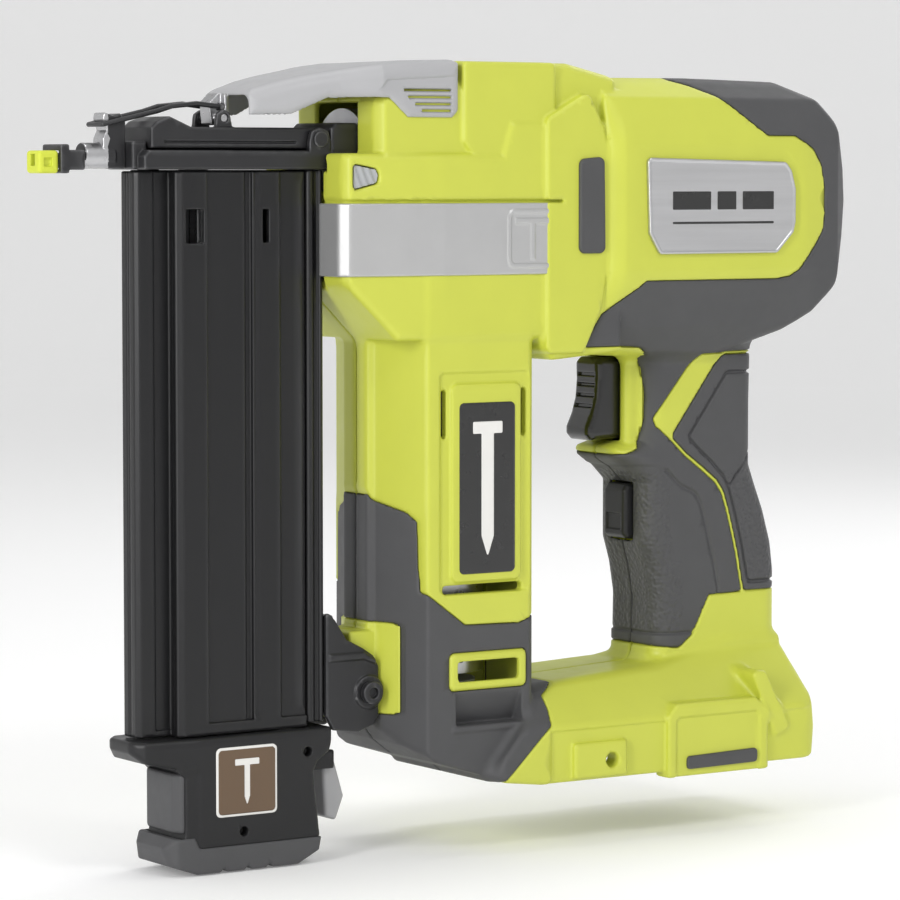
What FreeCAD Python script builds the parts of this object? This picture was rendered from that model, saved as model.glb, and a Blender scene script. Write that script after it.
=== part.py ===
import FreeCAD, Part
import math
import os

# Cordless brad nailer, millimetres.
# +Z is up, the nose points along -X, the clamshell seam is the plane Y = 0,
# and Z = 0 is the underside of the rubber foot below the magazine.

V = FreeCAD.Vector

# ---- driving dimensions -------------------------------------------------
WALL = 3.0               # shell wall
SKIN = 1.5               # thickness of soft overmould on the shell
RUN = 0.05               # radial clearance of a running fit
GAP = 0.3                # clearance between bodies that pass each other

DRIVE_Z = 255.5          # height of the nail channel and drive cylinder axis
CONTACT_Y, CONTACT_Z = 22.0, 247.0   # axis of the rod behind the contact arm
BRACKET_X, BRACKET_Z = -41.0, 60.7   # bolt that ties the magazine to the tower
HOOK_X, HOOK_Z, HOOK_R = 51.0, 31.2, 2.8   # belt hook screw holes
PUMP_Z = 212.0           # height of the compression cylinder axis
MOTOR_X = -8.0           # upright motor and crank axis

HEAD_HALF = 33.0         # half widths of the housing's blocks
UPPER_HALF = 30.0
DRUM_HALF = 39.0
TOWER_HALF = 32.0
HANDLE_HALF = 18.0
FOOT_HALF = 39.0
MAG_HALF = 12.0
MAG_FRONT_HALF = 6.0
CAP_HALF = 15.0

MAG_X0, MAG_X1 = -133.5, -59.0
MAG_BODY_X0 = -121.0
MAG_TOP, MAG_BOTTOM = 252.0, 49.5
MAG_SPLIT_X = -66.4      # the sliding cover ends here, the fixed spine starts behind it

NAIL_SLOT_HALF = 0.75    # takes 18-gauge brads, 1.27 mm thick
NAIL_X0, NAIL_X1 = -129.0, -77.0

DRIVE_BORE_R, DRIVE_WALL = 16.0, 3.0
DRIVE_CYL_X0, DRIVE_CYL_X1 = -44.0, 68.0
DRIVE_STROKE = 84.0
PISTON_LENGTH = 12.0
PUMP_BORE_R, PUMP_WALL = 18.0, 2.5
PUMP_CYL_X0, PUMP_CYL_X1 = 26.0, 86.0
CRANK_RADIUS = 18.0
ROD_LENGTH = 60.0

GEAR_MODULE = 0.8
SUN_TEETH, PLANET_TEETH, RING_TEETH = 12, 21, 54
GEAR_ANGLE = math.radians(25)
PLANET_COUNT = 3
BACKLASH = 0.06          # each tooth flank is thinned by this
GEAR_Z0, GEAR_Z1 = 152.0, 166.0

TRIGGER_HALF = 8.0
SCREW_R, HEAD_R = 1.5, 2.8
SCREW_SPOTS = [(-52, 228), (20, 282), (152, 238), (122, 196), (122, 158), (132, 108),
               (142, 50), (12, 46), (-22, 50)]


# ---- shape helpers ------------------------------------------------------
def inset(points, distance):
    """The closed polygon moved inwards by distance."""
    count = len(points)
    area = sum(points[i][0] * points[(i + 1) % count][1] - points[(i + 1) % count][0] * points[i][1]
               for i in range(count))
    side = distance if area > 0 else -distance
    lines = []
    for i in range(count):
        (x0, y0), (x1, y1) = points[i], points[(i + 1) % count]
        length = math.hypot(x1 - x0, y1 - y0)
        nx, ny = -(y1 - y0) / length, (x1 - x0) / length
        lines.append((nx, ny, nx * x0 + ny * y0 + side))
    moved = []
    for i in range(count):
        (a, b, c), (d, e, f) = lines[i - 1], lines[i]
        det = a * e - b * d
        moved.append(((c * e - b * f) / det, (a * f - c * d) / det))
    return moved


def prism(points, plane, low, high):
    """A polygon in the plane "xz", "xy" or "yz", extruded between low and high on the third axis."""
    place = {"xz": lambda a, b: V(a, low, b), "xy": lambda a, b: V(a, b, low), "yz": lambda a, b: V(low, a, b)}
    along = {"xz": V(0, high - low, 0), "xy": V(0, 0, high - low), "yz": V(high - low, 0, 0)}
    corners = [place[plane](a, b) for a, b in points]
    return Part.Face(Part.makePolygon(corners + corners[:1])).extrude(along[plane])


def box(x0, x1, y0, y1, z0, z1):
    return Part.makeBox(x1 - x0, y1 - y0, z1 - z0, V(x0, y0, z0))


def mirrored(points):
    """The closed outline made of points and their mirror image in the second coordinate."""
    return points + [(a, -b) for a, b in reversed(points)]


def rod_x(radius, x0, x1, y, z):
    return Part.makeCylinder(radius, x1 - x0, V(x0, y, z), V(1, 0, 0))


def rod_y(radius, y0, y1, x, z):
    return Part.makeCylinder(radius, y1 - y0, V(x, y0, z), V(0, 1, 0))


def rod_z(radius, z0, z1, x, y):
    return Part.makeCylinder(radius, z1 - z0, V(x, y, z0))


def fuse(*shapes):
    return shapes[0].multiFuse(list(shapes[1:])).removeSplitter()


def cut(shape, *tools):
    return shape.cut(list(tools)).removeSplitter()


def both_sides(shape):
    return Part.Compound([shape, shape.mirror(V(0, 0, 0), V(0, 1, 0))])


def biggest(shape):
    """The largest solid of a cut, without the loose slivers beside it."""
    return max(shape.Solids, key=lambda solid: solid.Volume)


def coil(radius, wire_r, length, turns, base, direction):
    """A compression spring from base along direction."""
    path = Part.Wire(Part.makeHelix(length / turns, length, radius).Edges)
    section = Part.Wire(Part.makeCircle(wire_r, V(radius, 0, 0), V(0, 1, 0)))
    spring = path.makePipeShell([section], True, True)
    spring.Placement = FreeCAD.Placement(base, FreeCAD.Rotation(V(0, 0, 1), direction))
    return spring


def screw_y(length, head, x, y_head, z):
    """A screw along Y whose socket head faces +Y at y_head."""
    shank = rod_y(SCREW_R, y_head - length, y_head, x, z)
    socket = rod_y(SCREW_R * 0.6, y_head - head * 0.6, y_head, x, z)
    return fuse(shank, rod_y(HEAD_R, y_head - head, y_head, x, z)).cut(socket)


# ---- outer form of the housing ------------------------------------------
HEAD_SIDE = [(-61, 212), (-61, 258), (5, 258), (9, 270), (53, 270), (60, 262), (60, 184),
             (28, 181.5), (22, 190), (-39, 190)]
HEAD_PLAN = mirrored([(-61, 26), (-58.5, 29.3), (-21, HEAD_HALF), (60, HEAD_HALF)])
UPPER_SIDE = [(-48, 250), (-48, 277), (-40, 283), (-11.2, 284.5), (-11.2, 291.5), (38, 291.5),
              (60, 286.5), (60, 250)]
UPPER_PLAN = mirrored([(-48, 26), (-44, UPPER_HALF), (60, UPPER_HALF)])
DRUM_SIDE = [(50, 186), (50, 287), (97, 287.5), (140, 286), (152, 280), (163, 267), (169, 253),
             (171, 240), (168, 226), (161, 208), (152, 197), (140, 190), (110, 180), (60, 182)]
DRUM_PLAN = mirrored([(50, 33), (57, DRUM_HALF), (142, DRUM_HALF), (160, 36), (171, 27)])
DRUM_END = [(-20, 288), (-33, 279), (-DRUM_HALF, 262), (-DRUM_HALF, 214), (-30, 193), (-20, 178),
            (20, 178), (30, 193), (DRUM_HALF, 214), (DRUM_HALF, 262), (33, 279), (20, 288)]
TOWER_SIDE = [(-39, 60), (-37, 49), (-31, 41), (-23, 35), (0, 28), (22, 28), (22, 216), (-39, 216)]
TOWER_PLAN = mirrored([(-39, 8), (-36, 10), (-27, TOWER_HALF), (18, TOWER_HALF), (22, 28)])
FOOT_SIDE = [(-4, 27), (24, 60), (84, 63), (120, 71), (147.5, 71), (150, 46), (152, 36), (150, 24),
             (20, 24)]
FOOT_PLAN = mirrored([(-4, 30), (3, FOOT_HALF), (144, FOOT_HALF), (152, 34)])
FOOT_END = [(-FOOT_HALF, 10), (-FOOT_HALF, 44), (-18, 67), (-18, 90), (18, 90), (18, 67),
            (FOOT_HALF, 44), (FOOT_HALF, 10)]
HANDLE_SIDE = [(70, 142.5), (70, 146.5), (81, 149.5), (81, 205), (136, 205), (135, 163), (135, 138),
               (138, 130), (142, 120), (145.8, 107), (147.2, 96), (147.2, 62), (87, 62), (87.5, 88),
               (85.5, 100), (82.5, 110), (82.5, 132), (77, 137.5)]


def envelope(depth):
    """The housing's outer form moved inwards by depth."""
    def block(side, plan, end=None):
        shape = prism(inset(side, depth), "xz", -60, 60)
        shape = shape.common(prism(inset(plan, depth), "xy", -10, 310))
        if end:
            shape = shape.common(prism(inset(end, depth), "yz", -100, 200))
        return shape

    round_off = 7.0 - 0.586 * depth
    half = HANDLE_HALF - depth
    handle = prism(inset(HANDLE_SIDE, depth), "xz", -half, half)
    long_edges = [e for e in handle.Edges
                  if abs(abs(e.CenterOfMass.y) - half) < 0.01 and e.BoundBox.ZLength > 6]
    handle = handle.makeChamfer(round_off, [e for e in long_edges if e.CenterOfMass.x > 130])
    handle = handle.cut(Part.Compound([
        prism([(70, s * half), (70, s * (half - round_off)), (88, s * half)], "xy", 60, 145)
        for s in (-1, 1)]))
    return fuse(block(HEAD_SIDE, HEAD_PLAN), block(UPPER_SIDE, UPPER_PLAN),
                block(DRUM_SIDE, DRUM_PLAN, DRUM_END), block(TOWER_SIDE, TOWER_PLAN),
                block(FOOT_SIDE, FOOT_PLAN, FOOT_END), handle)


# Soft grey areas, seen from the side.
GRIP_AREA = [(88, 300), (88, 286), (104, 280), (118, 270), (138, 265), (147, 260), (153, 245),
             (152, 229), (140, 213), (130, 210.5), (68, 210.5), (50, 198), (41, 184), (41, 170),
             (76, 150), (68, 150), (68, 137), (78, 137), (80, 71.5), (104, 71.5), (112, 88),
             (160, 88), (190, 150), (190, 300)]
PAD_AREA = [(121, 174), (102, 150), (113, 140), (121, 129), (126, 118), (129, 100), (131, 88.5),
            (160, 88.5), (160, 174)]
BOOT_AREA = [(-60, 138), (-38, 137), (-30, 127), (-28, 98), (-10.5, 85), (21, 85.5), (30, 87),
             (30, 60), (24.5, 47), (4, 27), (4, 0), (-60, 0)]


def make_housing():
    """The clamshell, its soft overmoulds, and the openings and bosses in them."""
    outer, middle, inner = envelope(0), envelope(SKIN), envelope(WALL)
    walls = outer.cut(inner)
    skin = outer.cut(middle)
    handle_zone = box(30, 200, -60, 60, 70, 300)
    tower_zone = box(-60, 26, -60, 60, 0, 140)
    pad = skin.common(prism(PAD_AREA, "xz", -60, 60))
    grip = skin.common(prism(GRIP_AREA, "xz", -60, 60)).common(handle_zone)
    grip = grip.cut(prism(inset(PAD_AREA, -1.2), "xz", -60, 60))
    boot = skin.common(prism(BOOT_AREA, "xz", -60, 60)).common(tower_zone)

    openings = [
        box(-70, -44, -14.4, 14.4, 251.6, 276),                       # nose plate and driver
        box(-62, -57.9, -12.6, 12.6, 205, 260),                       # seat of the magazine spine
        rod_x(2.4, -70, -50, CONTACT_Y, CONTACT_Z),                   # contact rod
        box(66, 90, -TRIGGER_HALF - GAP, TRIGGER_HALF + GAP, 149, 181),
        box(76, 95, -7.3, 7.3, 110.2, 132),                           # mode button
        box(30, 136, -31, 31, 20, 29),                                # battery mouth
        box(92, 134, -12, 12, 28, 84),                                # battery stem
    ]
    for side in (-1, 1):
        openings += [
            box(-14, 13, side * 33 - 6, side * 33 + 6, 64, 71.8),     # cooling vents
            box(-14, 13, side * 33 - 6, side * 33 + 6, 48, 51),
            box(-20, 15, side * 33 - 4, side * 33 + 4, 96, 100.5),
            box(-20.5, -18.5, side * 33 - 4, side * 33 + 4, 154, 172),
            box(13.2, 15.2, side * 33 - 4, side * 33 + 4, 154, 172),
            prism([(-57, 244.5), (-57, 254.3), (-47.5, 252.5), (-46.5, 250), (-47, 247)], "xz",
                  *sorted((side * 26, side * 36))),                   # lamp window
            rod_y(HOOK_R, *sorted((side * 33, side * 42)), HOOK_X, HOOK_Z),
        ]
    bosses = []
    for x, z in SCREW_SPOTS:
        bosses.append(rod_y(4.0, -60, 60, x, z).common(inner))
    hook_boss = [rod_y(5.5, *sorted((s * 30, s * 38)), HOOK_X, HOOK_Z) for s in (-1, 1)]
    lug = box(-47, -33, -10, 10, 49, 83)
    boot = boot.cut(box(-50, -30, -10, 10, 49, 83))
    heads = [rod_y(HEAD_R + 0.4, 10, 60, x, z) for x, z in SCREW_SPOTS]
    holes = [rod_y(SCREW_R + 0.1, -14, 60, x, z) for x, z in SCREW_SPOTS]
    shell = fuse(walls, *bosses, *hook_boss).cut([grip, pad, boot]).cut(openings + holes + heads)
    shell = fuse(shell, lug).cut(rod_y(2.6, -20, 20, BRACKET_X, BRACKET_Z))
    grip, pad, boot = [soft.cut(openings + heads) for soft in (grip, pad, boot)]
    left = box(-300, 300, -80, 0, -10, 400)
    right = box(-300, 300, 0, 80, -10, 400)
    made = {}
    for name, half in (("left", left), ("right", right)):
        made["housing_" + name] = biggest(shell.common(half))
        made["grip_overmould_" + name] = biggest(grip.common(half))
        made["tower_boot_" + name] = biggest(boot.common(half))
    made["rear_grip_pad"] = biggest(pad)
    return made


def make_trim():
    """Inlays and lenses on the outside of the housing."""
    band = prism([(-63, 213.5), (-63, 240), (31, 240), (31, 213.5)], "xz", -60, 60)
    outer_plan = prism(inset(HEAD_PLAN, -1.0), "xy", 200, 250)
    inner_plan = prism(HEAD_PLAN, "xy", 200, 250)
    band = band.common(outer_plan.cut(inner_plan)).common(box(-62, 31, -60, 60, 200, 250))
    band = band.cut(box(-70, -50, -13, 13, 200, 260))
    made = {"side_bands": Part.Compound(band.Solids)}
    made["side_badges"] = both_sides(box(67, 136, -DRUM_HALF - 0.9, -DRUM_HALF, 221, 256.5))
    made["label_plates"] = both_sides(box(-13.8, 10.8, -TOWER_HALF - 1, -TOWER_HALF, 104, 167))
    pads = box(38, 49.5, -HEAD_HALF - 1.8, -HEAD_HALF, 221, 257)
    foot_bar = box(86, 119.5, -FOOT_HALF - 1, -FOOT_HALF, 24.5, 30)
    made["rubber_bumpers"] = Part.Compound(both_sides(pads).Solids + both_sides(foot_bar).Solids)
    lens = prism([(-56.6, 245), (-56.6, 253.8), (-47.7, 252.1), (-46.9, 250), (-47.4, 247.3)], "xz",
                 -31.2, -28.4)
    made["led_lenses"] = both_sides(lens)
    hood_side = [(-94, 271), (-94, 280), (-80, 284.2), (-60, 288), (-36, 291.5), (-11.5, 292.2),
                 (-11.5, 272), (-15, 269.5), (-35, 269.5), (-43, 276.5), (-64, 276.5), (-77, 271)]
    hood_plan = mirrored([(-94, 16.5), (-60, 26), (-46, 32), (-11.5, 32)])
    hood_inner = [(-96, 268), (-96, 277.6), (-80, 281.8), (-60, 285.4), (-38, 288.8), (-9, 289.8),
                  (-9, 268)]
    hood = prism(hood_side, "xz", -40, 40).common(prism(hood_plan, "xy", 260, 300))
    hood_plan_inner = mirrored([(-96, 14.6), (-60, 24), (-46, 30.05), (-9, 30.05)])
    made["top_cover"] = hood.cut(prism(hood_inner, "xz", -40, 40)
                                 .common(prism(hood_plan_inner, "xy", 260, 300)))
    return made


# ---- compressed air drive -----------------------------------------------
def make_air_drive():
    """Drive cylinder with piston and blade, compression cylinder with piston and rod, and valve."""
    made = {}
    wall_r = DRIVE_BORE_R + DRIVE_WALL
    barrel = rod_x(wall_r, DRIVE_CYL_X0, DRIVE_CYL_X1, 0, DRIVE_Z)
    bore = rod_x(DRIVE_BORE_R, DRIVE_CYL_X0 + 2, DRIVE_CYL_X1 + 1, 0, DRIVE_Z)
    made["drive_cylinder"] = barrel.cut([bore, rod_x(4, DRIVE_CYL_X0 - 1, DRIVE_CYL_X0 + 3, 0, DRIVE_Z)])
    made["bumper"] = rod_x(15.6, DRIVE_CYL_X0 + 2, DRIVE_CYL_X0 + 12, 0, DRIVE_Z).cut(
        rod_x(5, DRIVE_CYL_X0, DRIVE_CYL_X0 + 13, 0, DRIVE_Z))
    piston_x = DRIVE_CYL_X0 + 12 + DRIVE_STROKE
    piston = rod_x(DRIVE_BORE_R - RUN, piston_x, piston_x + PISTON_LENGTH, 0, DRIVE_Z)
    ring = rod_x(DRIVE_BORE_R + 1, piston_x + 5, piston_x + 7.5, 0, DRIVE_Z).cut(
        rod_x(DRIVE_BORE_R - 1.2, piston_x + 4, piston_x + 8, 0, DRIVE_Z))
    made["drive_piston"] = piston.cut(ring)
    made["driver_blade"] = box(-70, piston_x, -0.6, 0.6, DRIVE_Z - 1.5, DRIVE_Z + 1.5)

    wall_r = PUMP_BORE_R + PUMP_WALL
    barrel = rod_x(wall_r, PUMP_CYL_X0, PUMP_CYL_X1, 0, PUMP_Z)
    made["compression_cylinder"] = barrel.cut(rod_x(PUMP_BORE_R, PUMP_CYL_X0 - 1, PUMP_CYL_X1 + 1, 0, PUMP_Z))
    wrist_x = MOTOR_X - CRANK_RADIUS + ROD_LENGTH
    piston = rod_x(PUMP_BORE_R - RUN, wrist_x - 6, wrist_x + 10, 0, PUMP_Z)
    pocket = box(wrist_x - 8, wrist_x + 6.2, -9, 9, PUMP_Z - 4, PUMP_Z + 4)
    pin = rod_z(3, PUMP_Z - 12, PUMP_Z + 12, wrist_x, 0)
    made["compression_piston"] = fuse(piston.cut(pocket), pin)
    eye = rod_z(6, PUMP_Z - 3, PUMP_Z + 3, wrist_x, 0)
    big_end = rod_z(8, PUMP_Z - 3, PUMP_Z + 3, MOTOR_X - CRANK_RADIUS, 0)
    shank = box(MOTOR_X - CRANK_RADIUS, wrist_x, -4, 4, PUMP_Z - 3, PUMP_Z + 3)
    made["connecting_rod"] = fuse(eye, big_end, shank).cut(rod_z(3 + RUN, 190, 230, wrist_x, 0))

    head = box(PUMP_CYL_X1, PUMP_CYL_X1 + 18, -19, 19, PUMP_Z - 19, DRIVE_Z + 18)
    cap = box(DRIVE_CYL_X1, PUMP_CYL_X1, -17, 17, DRIVE_Z - 17, DRIVE_Z + 17)
    port = rod_z(5, PUMP_Z, DRIVE_Z + 5, PUMP_CYL_X1 + 9, 0)
    inlet = rod_x(5, PUMP_CYL_X1 - 1, PUMP_CYL_X1 + 9, 0, PUMP_Z)
    outlet = rod_x(5, DRIVE_CYL_X1 - 1, PUMP_CYL_X1 + 9, 0, DRIVE_Z)
    valve_bore = rod_x(7, PUMP_CYL_X1 + 3, PUMP_CYL_X1 + 19, 0, 234)
    made["cylinder_head"] = fuse(head, cap).cut([port, inlet, outlet, valve_bore])
    spool = fuse(rod_x(7 - RUN, PUMP_CYL_X1 + 3.5, PUMP_CYL_X1 + 11, 0, 234),
                 rod_x(3, PUMP_CYL_X1 + 11, PUMP_CYL_X1 + 24, 0, 234))
    made["valve_spool"] = spool
    coil_x = PUMP_CYL_X1 + 18
    winding = rod_x(13, coil_x, coil_x + 20, 0, 234).cut(rod_x(3.3, coil_x - 1, coil_x + 19, 0, 234))
    made["valve_solenoid"] = winding
    return made


# ---- motor, gearbox and crank -------------------------------------------
def gear_outline(teeth, internal=False):
    """Involute tooth profile as a polygon with a tooth centre on +X. An internal gear's is its tooth gaps."""
    pitch_r = GEAR_MODULE * teeth / 2
    base_r = pitch_r * math.cos(GEAR_ANGLE)
    add, ded = (1.1, 0.8) if internal else (0.8, 1.1)
    tip_r = pitch_r + add * GEAR_MODULE
    root_r = pitch_r - ded * GEAR_MODULE
    half_pitch = math.pi / (2 * teeth) + (BACKLASH if internal else -BACKLASH) / pitch_r
    involute_at_pitch = math.tan(GEAR_ANGLE) - GEAR_ANGLE

    def flank(radius):
        if radius <= base_r:
            return half_pitch + involute_at_pitch
        angle = math.acos(base_r / radius)
        return half_pitch + involute_at_pitch - (math.tan(angle) - angle)

    radii = [root_r] + [max(root_r, base_r) + (tip_r - max(root_r, base_r)) * k / 3 for k in range(4)]
    if root_r >= base_r:
        radii = radii[1:]
    points = []
    for tooth in range(teeth):
        centre = 2 * math.pi * tooth / teeth
        points += [(r, centre - flank(r)) for r in radii]
        points += [(r, centre + flank(r)) for r in reversed(radii)]
    return [(r * math.cos(a), r * math.sin(a)) for r, a in points]


def make_motor():
    made = {}
    can = rod_z(22, 66, 140, MOTOR_X, 0)
    hollow = rod_z(20, 68, 138, MOTOR_X, 0)
    shaft_hole = rod_z(4, 60, 150, MOTOR_X, 0)
    magnets = [prism([(20.5 * math.cos(math.radians(a)), 20.5 * math.sin(math.radians(a)))
                      for a in range(start, start + 121, 12)]
                     + [(17.6 * math.cos(math.radians(a)), 17.6 * math.sin(math.radians(a)))
                        for a in range(start + 120, start - 1, -12)], "xy", 76, 130)
               for start in (-60, 120)]
    for magnet in magnets:
        magnet.translate(V(MOTOR_X, 0, 0))
    vents = [box(MOTOR_X - 3, MOTOR_X + 3, -30, 30, 70, 75), box(-40, 30, -3, 3, 70, 75)]
    made["motor_can"] = fuse(can.cut([hollow, shaft_hole] + vents), *magnets)
    stack = rod_z(16.8, 80, 126, MOTOR_X, 0)
    slots = [box(-1.4, 1.4, 6, 18, 79, 127) for _ in range(10)]
    for k, slot in enumerate(slots):
        slot.rotate(V(0, 0, 0), V(0, 0, 1), 36 * k)
        slot.translate(V(MOTOR_X, 0, 0))
    windings = rod_z(13, 76, 130, MOTOR_X, 0)
    shaft = rod_z(2.5, 54, GEAR_Z1, MOTOR_X, 0)
    commutator = rod_z(7, 69, 76, MOTOR_X, 0)
    made["motor_rotor"] = fuse(stack.cut(slots), windings, commutator, shaft)
    sun = prism(gear_outline(SUN_TEETH), "xy", GEAR_Z0, GEAR_Z1)
    sun.translate(V(MOTOR_X, 0, 0))
    made["sun_gear"] = sun.cut(rod_z(2.5, 100, 200, MOTOR_X, 0))
    hub = rod_z(6, 55, 62, MOTOR_X, 0)
    blades = []
    for k in range(9):
        blade = box(4, 19, -0.6, 0.6, 55, 61)
        blade.rotate(V(0, 0, 0), V(0, 0, 1), 40 * k)
        blade.translate(V(MOTOR_X, 0, 0))
        blades.append(blade)
    disc = rod_z(19, 61, 62.5, MOTOR_X, 0)
    made["cooling_fan"] = fuse(hub, disc, *blades).cut(rod_z(2.5, 50, 70, MOTOR_X, 0))
    return made


def make_gearbox():
    made = {}
    arm = GEAR_MODULE * (SUN_TEETH + PLANET_TEETH) / 2
    case = rod_z(26, 141, 190, MOTOR_X, 0)
    ring_teeth = prism(gear_outline(RING_TEETH, internal=True), "xy", GEAR_Z0 - 8, GEAR_Z1 + 3)
    ring_teeth.translate(V(MOTOR_X, 0, 0))
    room = rod_z(22.6, GEAR_Z1 + 1, 187, MOTOR_X, 0)
    low_hole = rod_z(5, 130, 150, MOTOR_X, 0)
    top_bearing_seat = rod_z(11, 180, 195, MOTOR_X, 0)
    made["gearbox_case"] = case.cut([ring_teeth, room, low_hole, top_bearing_seat])
    pins = []
    for k in range(PLANET_COUNT):
        turn = 2 * math.pi * k / PLANET_COUNT
        x, y = MOTOR_X + arm * math.cos(turn), arm * math.sin(turn)
        planet = prism(gear_outline(PLANET_TEETH), "xy", GEAR_Z0, GEAR_Z1)
        planet.rotate(V(0, 0, 0), V(0, 0, 1), math.degrees(turn))
        planet.translate(V(x, y, 0))
        made["planet_gear_%d" % (k + 1)] = planet.cut(rod_z(2.5 + RUN, 100, 200, x, y))
        pins.append(rod_z(2.5, GEAR_Z0, GEAR_Z1 + 1, x, y))
    plate = rod_z(19, GEAR_Z1 + 0.6, GEAR_Z1 + 6, MOTOR_X, 0)
    output = rod_z(6, GEAR_Z1 + 6, 196, MOTOR_X, 0)
    made["planet_carrier"] = fuse(plate, output, *pins)
    bearing = rod_z(11, 180, 187, MOTOR_X, 0).cut(rod_z(6 + RUN, 170, 200, MOTOR_X, 0))
    low = rod_z(8, 62.8, 66, MOTOR_X, 0).cut(rod_z(2.5 + RUN, 60, 70, MOTOR_X, 0))
    mid = rod_z(5, 142, 147, MOTOR_X, 0).cut(rod_z(2.5 + RUN, 130, 150, MOTOR_X, 0))
    made["shaft_bearings"] = Part.Compound([bearing, low, mid])
    disc = rod_z(24, 196, 202, MOTOR_X, 0)
    pin = rod_z(4, 202, PUMP_Z - 3.4, MOTOR_X - CRANK_RADIUS, 0)
    weight_cut = box(MOTOR_X - 30, MOTOR_X - 6, 14, 30, 190, 210)
    made["crank_disc"] = fuse(disc.cut([weight_cut, weight_cut.mirror(V(0, 0, 0), V(0, 1, 0))]), pin)
    return made


# ---- electrics ----------------------------------------------------------
def make_electrics():
    made = {}
    board = box(139, 141, -24, 24, 215, 262)
    parts = [box(141, 147, -18, -6, 222, 232), box(141, 145, 2, 14, 220, 240), rod_x(4, 141, 152, -10, 246),
             rod_x(4, 141, 152, 8, 250)]
    made["circuit_board"] = fuse(board, *parts)
    body = box(100, 126, -9.5, 9.5, 76, 84)
    blades = [box(x, x + 6, y - 0.5, y + 0.5, 60, 77) for x in (104, 116) for y in (-6.5, 6.5)]
    made["battery_terminals"] = fuse(body, *blades)
    trigger_switch = fuse(box(93, 118, -8, 8, 158, 180), rod_x(2.5, 85.3, 93, 0, 160.5))
    contact_switch = fuse(box(-41, -27, 22, 27, 227, 240), box(-42, -41, 23, 26, 230, 237))
    made["switches"] = Part.Compound([trigger_switch, contact_switch])
    return made


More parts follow.
